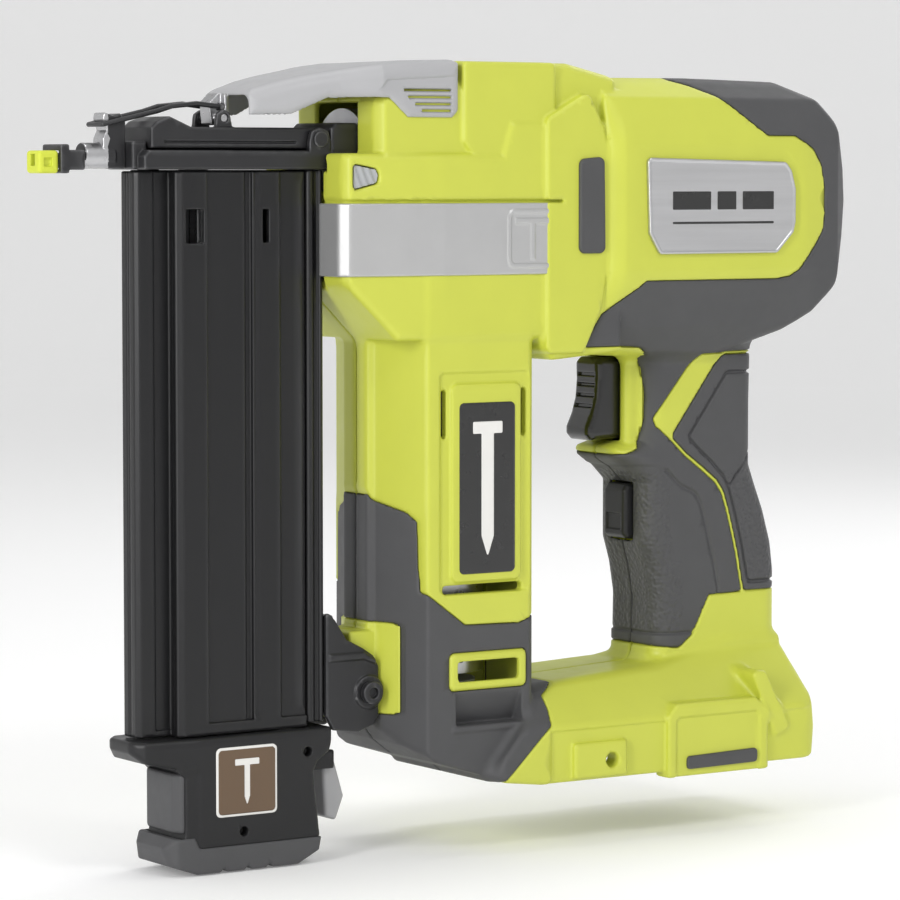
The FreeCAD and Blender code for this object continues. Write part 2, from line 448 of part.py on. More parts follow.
# ---- nose ---------------------------------------------------------------
def make_nose():
    made = {}
    plate = box(-134, -44, -14, 14, MAG_TOP, 259)
    channel = box(-140, -40, -0.9, 0.9, DRIVE_Z - 1.8, 260)
    feed = box(NAIL_X0, NAIL_X1, -NAIL_SLOT_HALF, NAIL_SLOT_HALF, MAG_TOP - 1, DRIVE_Z)
    rear = box(-57, -44, -14, 14, 259, 269).cut(box(-58, -43, -0.9, 0.9, 258, 261))
    pin_ears = fuse(*[fuse(box(-66, -57, y - 1.25, y + 1.25, 259, 263), rod_y(4.4, y - 1.25, y + 1.25, -61.5, 263))
                      for y in (-12.7, 12.7)]).cut(rod_y(2, -20, 20, -61.5, 263))
    front = box(-136, -130, -9, 9, MAG_TOP, 262)
    made["nose_plate"] = fuse(plate, rear, pin_ears, front.cut(box(-140, -129, -0.9, 0.9, 250, 263))).cut(
        [channel, feed])
    barrel = rod_x(4.6, -152, -140, 0, DRIVE_Z + 1.5)
    tip = box(-155.6, -136, -4, 4, 252.5, 258.5)
    hook = prism([(-136, 257), (-145, 257), (-145, 263), (-143.6, 266), (-143.6, 272), (-138, 272.5),
                  (-136, 266)], "xz", -4, 4)
    made["nose_piece"] = fuse(tip, barrel, hook).cut(box(-170, -130, -0.9, 0.9, DRIVE_Z - 1.8, DRIVE_Z + 1.8))
    plate = prism([(-129.5, 259.6), (-129.5, 268), (-122, 271), (-113, 267), (-66, 267), (-61.5, 267),
                   (-58.4, 266.1), (-57.6, 263), (-58.4, 259.9), (-61.5, 259.6)], "xz", -11, 11)
    rib = box(-128, -68, -0.6, 0.6, 257.4, 260)
    ears = [box(-102, -95, s * 8 - 1, s * 8 + 1, 266, 273) for s in (-1, 1)]
    pivot = rod_y(2.0 - RUN, -14.5, 14.5, -61.5, 263)
    made["jam_door"] = fuse(plate, rib, pivot, *ears).cut(rod_y(1.5 + RUN, -12, 12, -98.5, 270.5))
    lever = fuse(prism([(-101, 268), (-101.5, 277), (-97, 279.5), (-95.2, 279), (-95.4, 268)], "xz", -6.6, 6.6),
                 rod_y(1.5, -8.6, 8.6, -98.5, 270.5))
    made["latch_lever"] = cut(lever, rod_y(1.1, -10, 10, -98, 274.5))
    wire_r = 0.9
    side = [(-98, 274.5), (-108, 275.6), (-118, 274.6), (-124, 272.8), (-145.8, 268)]
    strands = []
    for y in (-5.2, 5.2):
        for (x0, z0), (x1, z1) in zip(side[:-1], side[1:]):
            run = V(x1 - x0, 0, z1 - z0)
            strands.append(Part.makeCylinder(wire_r, run.Length, V(x0, y, z0), run))
            strands.append(Part.makeSphere(wire_r, V(x1, y, z1)))
    cross = rod_y(wire_r, -5.2, 5.2, *side[-1])
    hinge = rod_y(wire_r, -6.3, 6.3, *side[0])
    made["latch_wire"] = fuse(cross, hinge, *strands)
    made["latch_lever"] = made["latch_lever"].cut([
        box(-112, -97.2, y - 1.6, y + 1.6, 266.5, 281) for y in (-5.2, 5.2)])

    ring = box(-163, -159.5, -6.4, 8, 250.8, 261).cut(box(-170, -150, -4.3, 4.3, 252.2, 258.8))
    strip = fuse(box(-163, -144, 6.6, 8, 252.5, 258), box(-147, -144, 6.6, 16, 252.5, 258),
                 box(-147, -112, 14.4, 16, 252.5, 258), box(-116, -112, 14.4, 24.5, 244.5, 258))
    cheek = box(-163, -153.5, -6.4, -5, 252, 259)
    rod = fuse(rod_x(2.0, -114, -50, CONTACT_Y, CONTACT_Z), rod_x(4.0, -57, -54.5, CONTACT_Y, CONTACT_Z),
               rod_x(3.2, -100, -98, CONTACT_Y, CONTACT_Z))
    made["contact_arm"] = fuse(ring, cheek, strip, rod)
    pad = box(-171, -163, -5, 5, 250.8, 258.8)
    bore = box(-172, -160, -1.6, 1.6, DRIVE_Z - 2, DRIVE_Z + 2)
    made["no_mar_tip"] = pad.cut([bore, box(-168.6, -166, -6, -3.8, 253.4, 256)])
    knurl = rod_x(6.5, -97.8, -90, CONTACT_Y, CONTACT_Z)
    flutes = [rod_x(1.0, -99, -89, CONTACT_Y + 6.9 * math.cos(math.radians(20 * k)),
                    CONTACT_Z + 6.9 * math.sin(math.radians(20 * k))) for k in range(18)]
    made["depth_wheel"] = knurl.cut([rod_x(2.0 + RUN, -99, -89, CONTACT_Y, CONTACT_Z)] + flutes)
    made["contact_spring"] = coil(2.9, 0.4, 11.6, 5, V(-53.9, CONTACT_Y, CONTACT_Z), V(1, 0, 0))
    return made


# ---- magazine -----------------------------------------------------------
def make_magazine():
    made = {}
    front_plan = mirrored([(MAG_X0, 4.6), (MAG_X0 + 1.2, MAG_FRONT_HALF), (MAG_BODY_X0 + 2, MAG_FRONT_HALF)])
    body_plan = mirrored([(MAG_BODY_X0, 10.2), (MAG_BODY_X0 + 2, MAG_HALF), (MAG_SPLIT_X, MAG_HALF)])
    low, high = MAG_BOTTOM, MAG_TOP - 0.4
    outside = fuse(prism(front_plan, "xy", low, high), prism(body_plan, "xy", low, high))
    rooms = [box(-131.5, -115, -4.3, 4.3, 0, 300), box(-118.5, -60, -9.2, 9.2, 0, 300)]
    grooves = []
    for side in (-1, 1):
        for x0, x1, depth in ((-107, -89, 1.6), (-81, -69.6, 1.6)):
            grooves.append(box(x0, x1, *sorted((side * (MAG_HALF - depth), side * 14)), 54, 246))
        grooves.append(box(-116, -108.5, *sorted((side * 9, side * 14)), 226, 238))
    shell = outside.cut(rooms + grooves)
    near_wall = box(-132.5, -74, -3.2, -0.8, low, high).cut(box(-104.6, -101.4, -4, 0, 56, 251))
    web = box(-76, -74, -10, -0.8, low, high)
    made["magazine_cover"] = fuse(shell, near_wall, web)
    rail = box(-130.5, -62, 0.8, 3.4, MAG_BOTTOM + 1.5, MAG_TOP)
    head_wall = box(-73.5, -62, -3.2, 3.4, MAG_BOTTOM + 1.5, MAG_TOP)
    spine = box(MAG_SPLIT_X + 0.4, MAG_X1, -MAG_HALF, MAG_HALF, MAG_BOTTOM + 1.5, MAG_TOP)
    spine_groove = [box(-63, -60.5, *sorted((s * 11, s * 13)), 52, 250) for s in (-1, 1)]
    made["magazine_rail"] = fuse(rail, head_wall, spine).cut(spine_groove)

    cap_side = [(-138, 49), (-138, 45), (-133, 41.5), (-121, 39.5), (-118.5, 37), (-118.5, 17), (-120, 9),
                (-62, 9), (-63.5, 22), (-65, 33.4), (-62.5, 37.5), (-57.5, 41), (-57, 49)]
    cap_plan = mirrored([(-139, 8), (-135, 12), (-122, CAP_HALF - 1.5), (-113, CAP_HALF), (-57, CAP_HALF)])
    cap = prism(cap_side, "xz", -20, 20).common(prism(cap_plan, "xy", 0, 60))
    side_holes = [rod_y(1.6, -16, -11, x, z) for x, z in ((-95, 14.2), (-68, 41))]
    ears = [box(-64, -53.5, *sorted((s * 7.4, s * 9.6)), 33, 40) for s in (-1, 1)]
    made["base_cap"] = fuse(cap.cut(side_holes), rod_y(1.5 - RUN, -9.6, 9.6, -56, 36), *ears)
    made["base_label"] = both_sides(box(-106.8, -81.3, -CAP_HALF - 0.4, -CAP_HALF, 20, 45.2))
    foot_side = [(-124, 3.5), (-114, 0), (-104, 0), (-103, 1.2), (-102, 0), (-94, 0),
                 (-93, 1.2), (-92, 0), (-85, 0), (-84, 1.2), (-83, 0), (-72, 0), (-63, 4.5),
                 (-62, 9), (-126, 9)]
    foot_plan = mirrored([(-127, 10), (-123, CAP_HALF), (-60, CAP_HALF)])
    made["rubber_foot"] = prism(foot_side, "xz", -20, 20).common(prism(foot_plan, "xy", -5, 20))
    lever = prism([(-58, 38), (-57, 34), (-56, 15), (-51, 13), (-47.5, 22), (-52.5, 38.6)], "xz", -7, 7)
    made["release_lever"] = fuse(lever, rod_y(3, -7, 7, -56, 36)).cut(rod_y(1.5, -8, 8, -56, 36))

    blade = box(-127, -80, -0.55, 0.55, 215, 250)
    neck = box(-104.2, -101.8, -4.2, -0.4, 218, 240)
    block = box(-110, -96, -8.8, -3.6, 212, 240)
    made["nail_pusher"] = fuse(blade, neck, block)
    made["pusher_spring"] = coil(2.1, 0.4, 162, 38, V(-103, -6.2, 49.6), V(0, 0, 1))

    ear_side = [(-59, 53), (-56, 47.5), (-45, 46), (-38, 48.6), (-36.3, 52), (-36.3, 70), (-38.5, 74),
                (-43, 77), (-50, 80.5), (-55, 88), (-59, 92)]
    ears = [prism(ear_side, "xz", *sorted((s * 10.6, s * 13.2))) for s in (-1, 1)]
    back = box(-59, -56, -13.2, 13.2, 53, 90)
    boss = [rod_y(6, *sorted((s * 13.2, s * 14.2)), BRACKET_X, BRACKET_Z) for s in (-1, 1)]
    hole = rod_y(2.6, -20, 20, BRACKET_X, BRACKET_Z)
    made["magazine_bracket"] = fuse(back, *ears, *boss).cut(hole)
    bolt = fuse(rod_y(2.5, -17.2, 17, BRACKET_X, BRACKET_Z), rod_y(4.2, -17.2, -14.3, BRACKET_X, BRACKET_Z))
    nut = prism([(BRACKET_X + 4.6 * math.cos(math.radians(a)), BRACKET_Z + 4.6 * math.sin(math.radians(a)))
                 for a in range(0, 360, 60)], "xz", 14.3, 17.6)
    bolt = bolt.cut(rod_y(1.5, -18, -15.5, BRACKET_X, BRACKET_Z))
    made["bracket_bolt"] = Part.Compound([bolt, nut.cut(rod_y(2.5, 10, 20, BRACKET_X, BRACKET_Z))])
    return made


# ---- controls and fasteners ---------------------------------------------
def make_controls():
    made = {}
    face = [(63.5, 148.9), (61.4, 151.2), (61.4, 154), (63.8, 159), (65.6, 165), (66.2, 172),
            (66, 178.5), (68, 180.6), (86, 180.6), (86, 149.6)]
    trigger = prism(face, "xz", -TRIGGER_HALF, TRIGGER_HALF)
    made["trigger"] = trigger.cut(box(80, 87, -5, 5, 156, 174))
    made["trigger_spring"] = coil(3.2, 0.5, 11.6, 6, V(80.7, 0, 169.8), V(1, 0, 0))
    button = fuse(prism([(79.3, 112), (79.3, 129), (81, 131.7), (86, 131.7), (86, 110.5), (81, 110.5)], "xz",
                        -7, 7), box(86, 88, -8.6, 8.6, 109.6, 133))
    made["mode_button"] = button
    made["housing_screws"] = Part.Compound([screw_y(26, 2.4, x, 13, z) for x, z in SCREW_SPOTS])
    return made


def main():
    os.makedirs("parts", exist_ok=True)
    made = {}
    for section in (make_housing, make_trim, make_air_drive, make_motor, make_gearbox, make_electrics,
                    make_nose, make_magazine, make_controls):
        made.update(section())
    for name, shape in made.items():
        shape.exportStep("parts/%s.step" % name)


main()
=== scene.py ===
import math

import bpy
import numpy as np
import openvdb
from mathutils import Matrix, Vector


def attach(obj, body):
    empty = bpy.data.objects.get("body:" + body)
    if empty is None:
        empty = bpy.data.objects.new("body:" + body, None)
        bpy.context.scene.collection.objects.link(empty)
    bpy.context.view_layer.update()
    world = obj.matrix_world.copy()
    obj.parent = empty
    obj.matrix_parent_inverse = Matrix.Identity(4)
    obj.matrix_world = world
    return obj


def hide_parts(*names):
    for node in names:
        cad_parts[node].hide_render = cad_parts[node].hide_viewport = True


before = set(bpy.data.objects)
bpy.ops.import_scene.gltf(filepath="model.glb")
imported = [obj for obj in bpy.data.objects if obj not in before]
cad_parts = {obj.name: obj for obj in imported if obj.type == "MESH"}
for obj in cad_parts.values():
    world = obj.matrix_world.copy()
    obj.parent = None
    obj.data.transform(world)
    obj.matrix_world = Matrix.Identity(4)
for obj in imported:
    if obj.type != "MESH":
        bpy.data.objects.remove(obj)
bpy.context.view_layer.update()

MM = 0.001

# Shared sizes of the housing, in millimetres, the same as the CAD part's.
WALL = 3.0
SKIN = 1.7               # depth of the soft overmould in the shell
SEAM = 0.12              # half the gap between the clamshell halves
HEAD_HALF = 33.0
UPPER_HALF = 30.0
DRUM_HALF = 39.0
TOWER_HALF = 32.0
HANDLE_HALF = 18.0
FOOT_HALF = 39.0
CAP_HALF = 15.0
BORE_Z = 255.5           # height of the nail channel
HINGE_X, HINGE_Z = -61.5, 263.0          # jam door's hinge pin
LATCH_X, LATCH_Z = -98.5, 270.5          # latch lever's pin
RELEASE_X, RELEASE_Z = -56.0, 36.0       # magazine release lever's pin
CONTACT_Y, CONTACT_Z = 22.0, 247.0       # rod of the contact arm

# Meshing: how far flat areas are merged, and the reach of the sample a normal is taken over, in grid steps.
MERGE = 0.012
NUDGE = 0.35


# ---- forms: each is a signed distance in millimetres, negative inside ----
def mirrored(points):
    """A closed outline made of points and their mirror image in the second coordinate."""
    return points + [(a, -b) for a, b in reversed(points)]


def inset(points, distance):
    """The closed polygon moved inwards by distance."""
    count = len(points)
    area = sum(points[i][0] * points[(i + 1) % count][1] - points[(i + 1) % count][0] * points[i][1]
               for i in range(count))
    side = distance if area > 0 else -distance
    lines = []
    for i in range(count):
        (x0, y0), (x1, y1) = points[i], points[(i + 1) % count]
        length = math.hypot(x1 - x0, y1 - y0)
        nx, ny = -(y1 - y0) / length, (x1 - x0) / length
        lines.append((nx, ny, nx * x0 + ny * y0 + side))
    moved = []
    for i in range(count):
        (a, b, c), (d, e, f) = lines[i - 1], lines[i]
        det = a * e - b * d
        moved.append(((c * e - b * f) / det, (a * f - c * d) / det))
    return moved


def flat(a, b, points, corner=0.0):
    """A closed polygon in two coordinates, its outer corners rounded by corner."""
    corners = inset(points, corner) if corner else points
    nearest = np.float32(1e9)
    inside = np.zeros(np.broadcast(a, b).shape, bool)
    for (ax, ay), (bx, by) in zip(corners, corners[1:] + corners[:1]):
        ex, ey = bx - ax, by - ay
        wx, wy = a - ax, b - ay
        along = np.clip((wx * ex + wy * ey) / (ex * ex + ey * ey), 0, 1)
        nearest = np.minimum(nearest, (wx - ex * along) ** 2 + (wy - ey * along) ** 2)
        if ey:
            inside ^= ((ay > b) != (by > b)) & (a < ax + (b - ay) * ex / ey)
    distance = np.sqrt(nearest)
    return np.where(inside, -distance, distance) - corner


def slab(v, low, high):
    return np.maximum(low - v, v - high)


def meet(a, b, r=0.0):
    """Where both are, the edge between them rounded by r."""
    if not r:
        return np.maximum(a, b)
    round_edge = np.sqrt(np.maximum(a + r, 0) ** 2 + np.maximum(b + r, 0) ** 2)
    return np.minimum(np.maximum(a, b), -r) + round_edge


def join(a, b, r=0.0):
    """Where either is, the inner corner between them filled by r."""
    return -meet(-a, -b, r)


def less(a, b, r=0.0):
    return meet(a, -b, r)


def brick(x, y, z, x0, x1, y0, y1, z0, z1, r=0.0):
    return meet(meet(slab(x, x0, x1), slab(y, y0, y1), r), slab(z, z0, z1), r)


def rod(a, b, ca, cb, radius):
    return np.sqrt((a - ca) ** 2 + (b - cb) ** 2) - radius


# ---- meshing ----
def sample(values, places):
    """Values between the grid's points, in grid steps."""
    low = np.clip(np.floor(places).astype(int), 0, np.array(values.shape) - 2)
    part = places - low
    total = 0
    for i in (0, 1):
        for j in (0, 1):
            for k in (0, 1):
                weight = np.abs(1 - i - part[:, 0]) * np.abs(1 - j - part[:, 1]) * np.abs(1 - k - part[:, 2])
                total = total + weight * values[low[:, 0] + i, low[:, 1] + j, low[:, 2] + k]
    return total


def carve(name, form, low, high, step, material, body, nodes=()):
    """Meshes the surface of a form that lies between low and high, riding on a body."""
    x, y, z = [np.arange(a - 2.5 * step, b + 3.0 * step, step, dtype=np.float32) for a, b in zip(low, high)]
    values = form(x[:, None, None], y[None, :, None], z[None, None, :])
    values = np.array(np.broadcast_to(values, (len(x), len(y), len(z))), dtype=np.float32, order="C")
    for edge in (values[0], values[-1], values[:, 0], values[:, -1], values[:, :, 0], values[:, :, -1]):
        np.maximum(edge, 0.1, out=edge)
    grid = openvdb.FloatGrid(4.0)
    grid.copyFromArray(values)
    points, triangles, quads = grid.convertToPolygons(0.0, MERGE)
    normals = np.zeros_like(points, dtype=float)
    for axis in range(3):
        nudge = np.zeros(3)
        nudge[axis] = NUDGE
        normals[:, axis] = sample(values, points + nudge) - sample(values, points - nudge)
    normals /= np.maximum(np.linalg.norm(normals, axis=1, keepdims=True), 1e-9)
    corner = np.array([x[0], y[0], z[0]])
    mesh = bpy.data.meshes.new(name)
    faces = [list(f) for f in triangles.tolist()] + [list(f) for f in quads.tolist()]
    mesh.from_pydata(((points * step + corner) * MM).tolist(), [], faces)
    mesh.shade_smooth()
    mesh.normals_split_custom_set_from_vertices(normals.tolist())
    piece = bpy.data.objects.new(name, mesh)
    bpy.context.scene.collection.objects.link(piece)
    piece.data.materials.append(material)
    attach(piece, body)
    if nodes:
        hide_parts(*nodes)
    return piece


def paint(piece, material, inside):
    """Gives a second material to the faces whose middle is inside a form."""
    mesh = piece.data
    mesh.materials.append(material)
    middles = np.zeros(len(mesh.polygons) * 3)
    mesh.polygons.foreach_get("center", middles)
    x, y, z = (middles.reshape(-1, 3) / MM).T
    index = np.zeros(len(mesh.polygons), dtype=np.int32)
    mesh.polygons.foreach_get("material_index", index)
    index[inside(x, y, z) < 0] = len(mesh.materials) - 1
    mesh.polygons.foreach_set("material_index", index)


# ---- materials ----
def surface(name, colour, rough, metal=0.0, grain=0.45, depth=0.02, spread=0.05, patch=14.0, wear_and_sheen=0.0,
            wear_and_sheen_colour=(0.5, 0.5, 0.5), stretch=(1, 1, 1), coat=0.0, cells=0.0, cell_depth=0.25,
            glow=0.0, shine=0.5):
    """A material with fine grain, patchy colour and roughness, and paler edges that are partly worn paint and
    partly a painted highlight; lengths in mm.
    """
    material = bpy.data.materials.new(name)
    material.use_nodes = True
    nodes, links = material.node_tree.nodes, material.node_tree.links
    shader = nodes["Principled BSDF"]
    shader.inputs["Metallic"].default_value = metal
    shader.inputs["Coat Weight"].default_value = coat
    shader.inputs["Specular IOR Level"].default_value = shine
    shader.inputs["Coat Roughness"].default_value = 0.25
    place = nodes.new("ShaderNodeTexCoord")
    scale = nodes.new("ShaderNodeMapping")
    scale.inputs["Scale"].default_value = [s / MM for s in stretch]
    links.new(place.outputs["Object"], scale.inputs["Vector"])

    def noise(size, detail):
        texture = nodes.new("ShaderNodeTexNoise")
        texture.inputs["Scale"].default_value = 1.0 / size
        texture.inputs["Detail"].default_value = detail
        links.new(scale.outputs["Vector"], texture.inputs["Vector"])
        return texture.outputs["Fac"]

    tint = nodes.new("ShaderNodeMix")
    tint.data_type = "RGBA"
    tint.inputs["A"].default_value = [c * (1 - spread) for c in colour] + [1]
    tint.inputs["B"].default_value = [min(1, c * (1 + spread)) for c in colour] + [1]
    links.new(noise(patch, 4), tint.inputs["Factor"])
    colour_out = tint.outputs["Result"]
    rough_map = nodes.new("ShaderNodeMapRange")
    rough_map.inputs["To Min"].default_value = max(0.05, rough - 0.09)
    rough_map.inputs["To Max"].default_value = min(1.0, rough + 0.09)
    links.new(noise(patch * 0.35, 5), rough_map.inputs["Value"])
    rough_out = rough_map.outputs["Result"]
    # paler colour on pointy edges: partly rubbed paint, partly a painted highlight along rounded edges
    if wear_and_sheen:
        shape = nodes.new("ShaderNodeNewGeometry")
        edge = nodes.new("ShaderNodeMapRange")
        edge.inputs["From Min"].default_value = 0.515
        edge.inputs["From Max"].default_value = 0.60
        edge.inputs["To Max"].default_value = wear_and_sheen
        links.new(shape.outputs["Pointiness"], edge.inputs["Value"])
        patches = nodes.new("ShaderNodeMath")
        patches.operation = "MULTIPLY"
        links.new(edge.outputs["Result"], patches.inputs[0])
        links.new(noise(3.0, 3), patches.inputs[1])
        worn_and_sheen = nodes.new("ShaderNodeMix")
        worn_and_sheen.data_type = "RGBA"
        worn_and_sheen.inputs["B"].default_value = list(wear_and_sheen_colour) + [1]
        links.new(patches.outputs["Value"], worn_and_sheen.inputs["Factor"])
        links.new(colour_out, worn_and_sheen.inputs["A"])
        colour_out = worn_and_sheen.outputs["Result"]
    links.new(colour_out, shader.inputs["Base Color"])
    links.new(rough_out, shader.inputs["Roughness"])
    bump = nodes.new("ShaderNodeBump")
    bump.inputs["Distance"].default_value = depth * MM
    bump.inputs["Strength"].default_value = 1.0
    links.new(noise(grain, 2), bump.inputs["Height"])
    if cells:
        pebbles = nodes.new("ShaderNodeTexVoronoi")
        pebbles.feature = "SMOOTH_F1"
        pebbles.inputs["Scale"].default_value = 1.0 / cells
        links.new(scale.outputs["Vector"], pebbles.inputs["Vector"])
        raised = nodes.new("ShaderNodeBump")
        raised.invert = True
        raised.inputs["Distance"].default_value = cell_depth * MM
        raised.inputs["Strength"].default_value = 1.0
        links.new(pebbles.outputs["Distance"], raised.inputs["Height"])
        links.new(bump.outputs["Normal"], raised.inputs["Normal"])
        bump = raised
    links.new(bump.outputs["Normal"], shader.inputs["Normal"])
    if glow:
        shader.inputs["Emission Color"].default_value = (1, 1, 1, 1)
        shader.inputs["Emission Strength"].default_value = glow
    return material


LIME = (0.56, 0.60, 0.07)
lime = surface("lime_plastic", LIME, 0.42, spread=0.04, depth=0.015)
grey = surface("grey_overmould", (0.075, 0.075, 0.078), 0.55, spread=0.08, depth=0.03, grain=0.35, shine=0.35)
grip_texture = surface("grip_texture", (0.07, 0.07, 0.073), 0.5, cells=1.5, cell_depth=0.7, shine=0.4)
# black plastic, black steel and black anodised below get paler edges that are partly wear and partly a painted
# highlight
black = surface("black_plastic", (0.014, 0.014, 0.015), 0.38, spread=0.1, depth=0.02, wear_and_sheen=0.3,
                wear_and_sheen_colour=(0.08, 0.08, 0.08), shine=0.35)
gloss = surface("gloss_black", (0.006, 0.006, 0.006), 0.22, spread=0.1, depth=0.01, coat=0.4)
pale = surface("light_grey_plastic", (0.40, 0.40, 0.41), 0.45, spread=0.04, depth=0.015)
silver = surface("silver_paint", (0.50, 0.50, 0.50), 0.36, metal=0.55, grain=0.2, depth=0.006, spread=0.05)
brushed = surface("brushed_plate", (0.55, 0.55, 0.56), 0.34, metal=0.85, grain=0.5, depth=0.012,
                  stretch=(0.04, 1, 1), spread=0.12, patch=2.5)
plate_black = surface("black_plate", (0.012, 0.012, 0.012), 0.25, depth=0.004, coat=0.4)
lens = surface("clear_lens", (0.36, 0.37, 0.38), 0.22, depth=0.03, grain=1.2, coat=0.6)
black_steel = surface("black_steel", (0.028, 0.028, 0.03), 0.36, metal=0.35, spread=0.15, depth=0.012,
                      wear_and_sheen=0.8, wear_and_sheen_colour=(0.32, 0.32, 0.33))
steel = surface("ground_steel", (0.52, 0.52, 0.53), 0.30, metal=1.0, spread=0.12, depth=0.01, patch=6)
anodised = surface("black_anodised", (0.011, 0.011, 0.012), 0.34, metal=0.1, spread=0.12, depth=0.008,
                   stretch=(1, 1, 0.06), wear_and_sheen=0.5, wear_and_sheen_colour=(0.15, 0.15, 0.155), shine=0.4)
cast = surface("cast_aluminium", (0.62, 0.62, 0.64), 0.45, metal=1.0, spread=0.08, depth=0.04, grain=0.8)
brass = surface("brass", (0.72, 0.52, 0.22), 0.28, metal=1.0, depth=0.006)
copper = surface("copper_winding", (0.72, 0.34, 0.18), 0.35, metal=1.0, stretch=(1, 1, 4), depth=0.1)
board = surface("circuit_board", (0.03, 0.20, 0.07), 0.4, patch=3, spread=0.3, coat=0.3)
brown = surface("brown_label", (0.12, 0.07, 0.034), 0.4, depth=0.004, coat=0.3)
white = surface("white_print", (0.78, 0.77, 0.74), 0.42, depth=0.004)
tip_lime = surface("soft_lime", (0.60, 0.66, 0.05), 0.55, depth=0.04, grain=0.6)

# ---- housing ----
HEAD_SIDE = [(-61, 212), (-61, 258), (5, 258), (9, 270), (53, 270), (60, 262), (60, 184), (28, 181.5),
             (22, 190), (-39, 190)]
HEAD_PLAN = mirrored([(-61, 26), (-58.5, 29.3), (-21, HEAD_HALF), (60, HEAD_HALF)])
UPPER_SIDE = [(-48, 250), (-48, 277), (-40, 283), (-11.2, 284.5), (-11.2, 291.5), (38, 291.5), (60, 286.5),
              (60, 250)]
UPPER_PLAN = mirrored([(-48, 26), (-44, UPPER_HALF), (60, UPPER_HALF)])
DRUM_SIDE = [(50, 186), (50, 287), (97, 287.5), (140, 286), (152, 280), (163, 267), (169, 253), (171, 240),
             (168, 226), (161, 208), (152, 197), (140, 190), (110, 180), (60, 182)]
DRUM_PLAN = mirrored([(50, 33), (57, DRUM_HALF), (142, DRUM_HALF), (160, 36), (171, 27)])
DRUM_END = [(-20, 288), (-33, 279), (-DRUM_HALF, 262), (-DRUM_HALF, 214), (-30, 193), (-20, 178), (20, 178),
            (30, 193), (DRUM_HALF, 214), (DRUM_HALF, 262), (33, 279), (20, 288)]
TOWER_SIDE = [(-39, 60), (-37, 49), (-31, 41), (-23, 35), (0, 28), (22, 28), (22, 216), (-39, 216)]
TOWER_PLAN = mirrored([(-39, 8), (-36, 10), (-27, TOWER_HALF), (18, TOWER_HALF), (22, 28)])
FOOT_SIDE = [(-4, 27), (24, 60), (84, 63), (120, 71), (147.5, 71), (150, 46), (152, 36), (150, 24), (20, 24)]
FOOT_PLAN = mirrored([(-4, 30), (3, FOOT_HALF), (144, FOOT_HALF), (152, 34)])
FOOT_END = [(-FOOT_HALF, 10), (-FOOT_HALF, 44), (-18, 67), (-18, 90), (18, 90), (18, 67), (FOOT_HALF, 44),
            (FOOT_HALF, 10)]
HANDLE_SIDE = [(70, 142.5), (70, 146.5), (81, 149.5), (81, 205), (136, 205), (135, 163), (135, 138),
               (138, 130), (142, 120), (145.8, 107), (147.2, 96), (147.2, 62), (87, 62), (87.5, 88),
               (85.5, 100), (82.5, 110), (82.5, 132), (77, 137.5)]
COLLAR = [(24, 271), (43, 281), (50, 268), (54, 255), (55, 240), (53, 220), (49, 200), (41, 184), (24, 184)]
BADGE = [(66, 257), (132, 255.5), (135, 252), (137, 245), (137, 232), (136, 228), (128, 220), (72, 220),
         (67, 228)]

# Soft areas seen from the side.
DRUM_SOFT = [(88, 295), (88, 286), (95, 284), (104, 280), (110, 276), (118, 270), (125, 265), (138, 265),
             (147, 260), (151, 254), (153, 245), (153, 235), (152, 229), (148, 223), (140, 214), (136, 211.5),
             (130, 210.5), (68, 210.5), (65, 208), (50, 198), (45, 191), (41, 184), (41, 150), (190, 150),
             (190, 295)]
GRIP_SOFT = [(60, 190), (105.5, 190), (105.5, 180), (87.8, 160.4), (85.6, 157), (86.9, 154), (93.6, 148.6),
             (100.4, 142.3), (108.4, 136.5), (114.9, 131.5), (118, 127.3), (120.3, 120.8), (122.6, 112.8),
             (125.1, 103.2), (126.5, 95.8), (128, 88.5), (112.4, 88), (104.5, 73.3), (98, 68.3), (60, 72)]
TRIGGER_RIM = [(30, 186), (60, 186), (74, 185), (80, 181.5), (82.4, 176), (83.4, 166), (83, 155), (81.5, 149),
               (79, 145.4), (75, 144), (68, 143.4), (30, 143.4)]
CHEVRON = [(105.5, 181.5), (117.5, 182), (94.8, 151.3), (94.4, 149.4), (93.6, 148.6), (86.9, 154),
           (85.6, 157), (87.8, 160.4)]
PAD = [(117.5, 181), (95, 151.3), (94.6, 149.4), (101.6, 143.2), (109.6, 137.5), (116.2, 132.4),
       (119.4, 127.9), (121.7, 121.2), (124, 113), (126.5, 103.5), (127.9, 96), (129.4, 88.7), (165, 88.7),
       (165, 181)]
PAD_GRAIN = [(120, 174), (101.7, 149.6), (107, 144.6), (112.9, 139.8), (118.7, 134), (121.5, 129),
             (124.7, 118.7), (127.5, 108.4), (129.4, 99.6), (131, 92), (165, 92), (165, 174)]
GRIP_GRAIN = [(60, 138), (82, 139.3), (88.8, 138.6), (92.3, 136.7), (97.7, 131.4), (105.7, 127.5),
              (108, 123.8), (110.3, 116.5), (112.2, 109), (114.6, 100.4), (116.5, 91.6), (117, 85.8),
              (114.3, 80), (104, 74), (60, 74)]
BOOT_SOFT = [(-70, 138), (-39.5, 136), (-37, 131.6), (-30.2, 126.9), (-28.5, 123.8), (-28, 98),
             (-10.5, 85.2), (13.3, 84.6), (22, 87.4), (34, 92), (34, 60), (26.4, 56), (26.4, 51.7),
             (24.5, 45.6), (21.5, 43.7), (10, 32.8), (3, 26.2), (3, 10), (-70, 10)]
LAMP = [(-57, 244.5), (-57, 254.3), (-47.5, 252.5), (-46.5, 250), (-47, 247)]
BEZEL_WELL = [(-21.5, 97), (-21.5, 178), (18, 178), (18, 97)]
BEZEL = [(-17, 101), (-17, 174), (14, 174), (14, 101)]
LABEL = [(-13.8, 104), (-13.8, 167), (10.8, 167), (10.8, 104)]
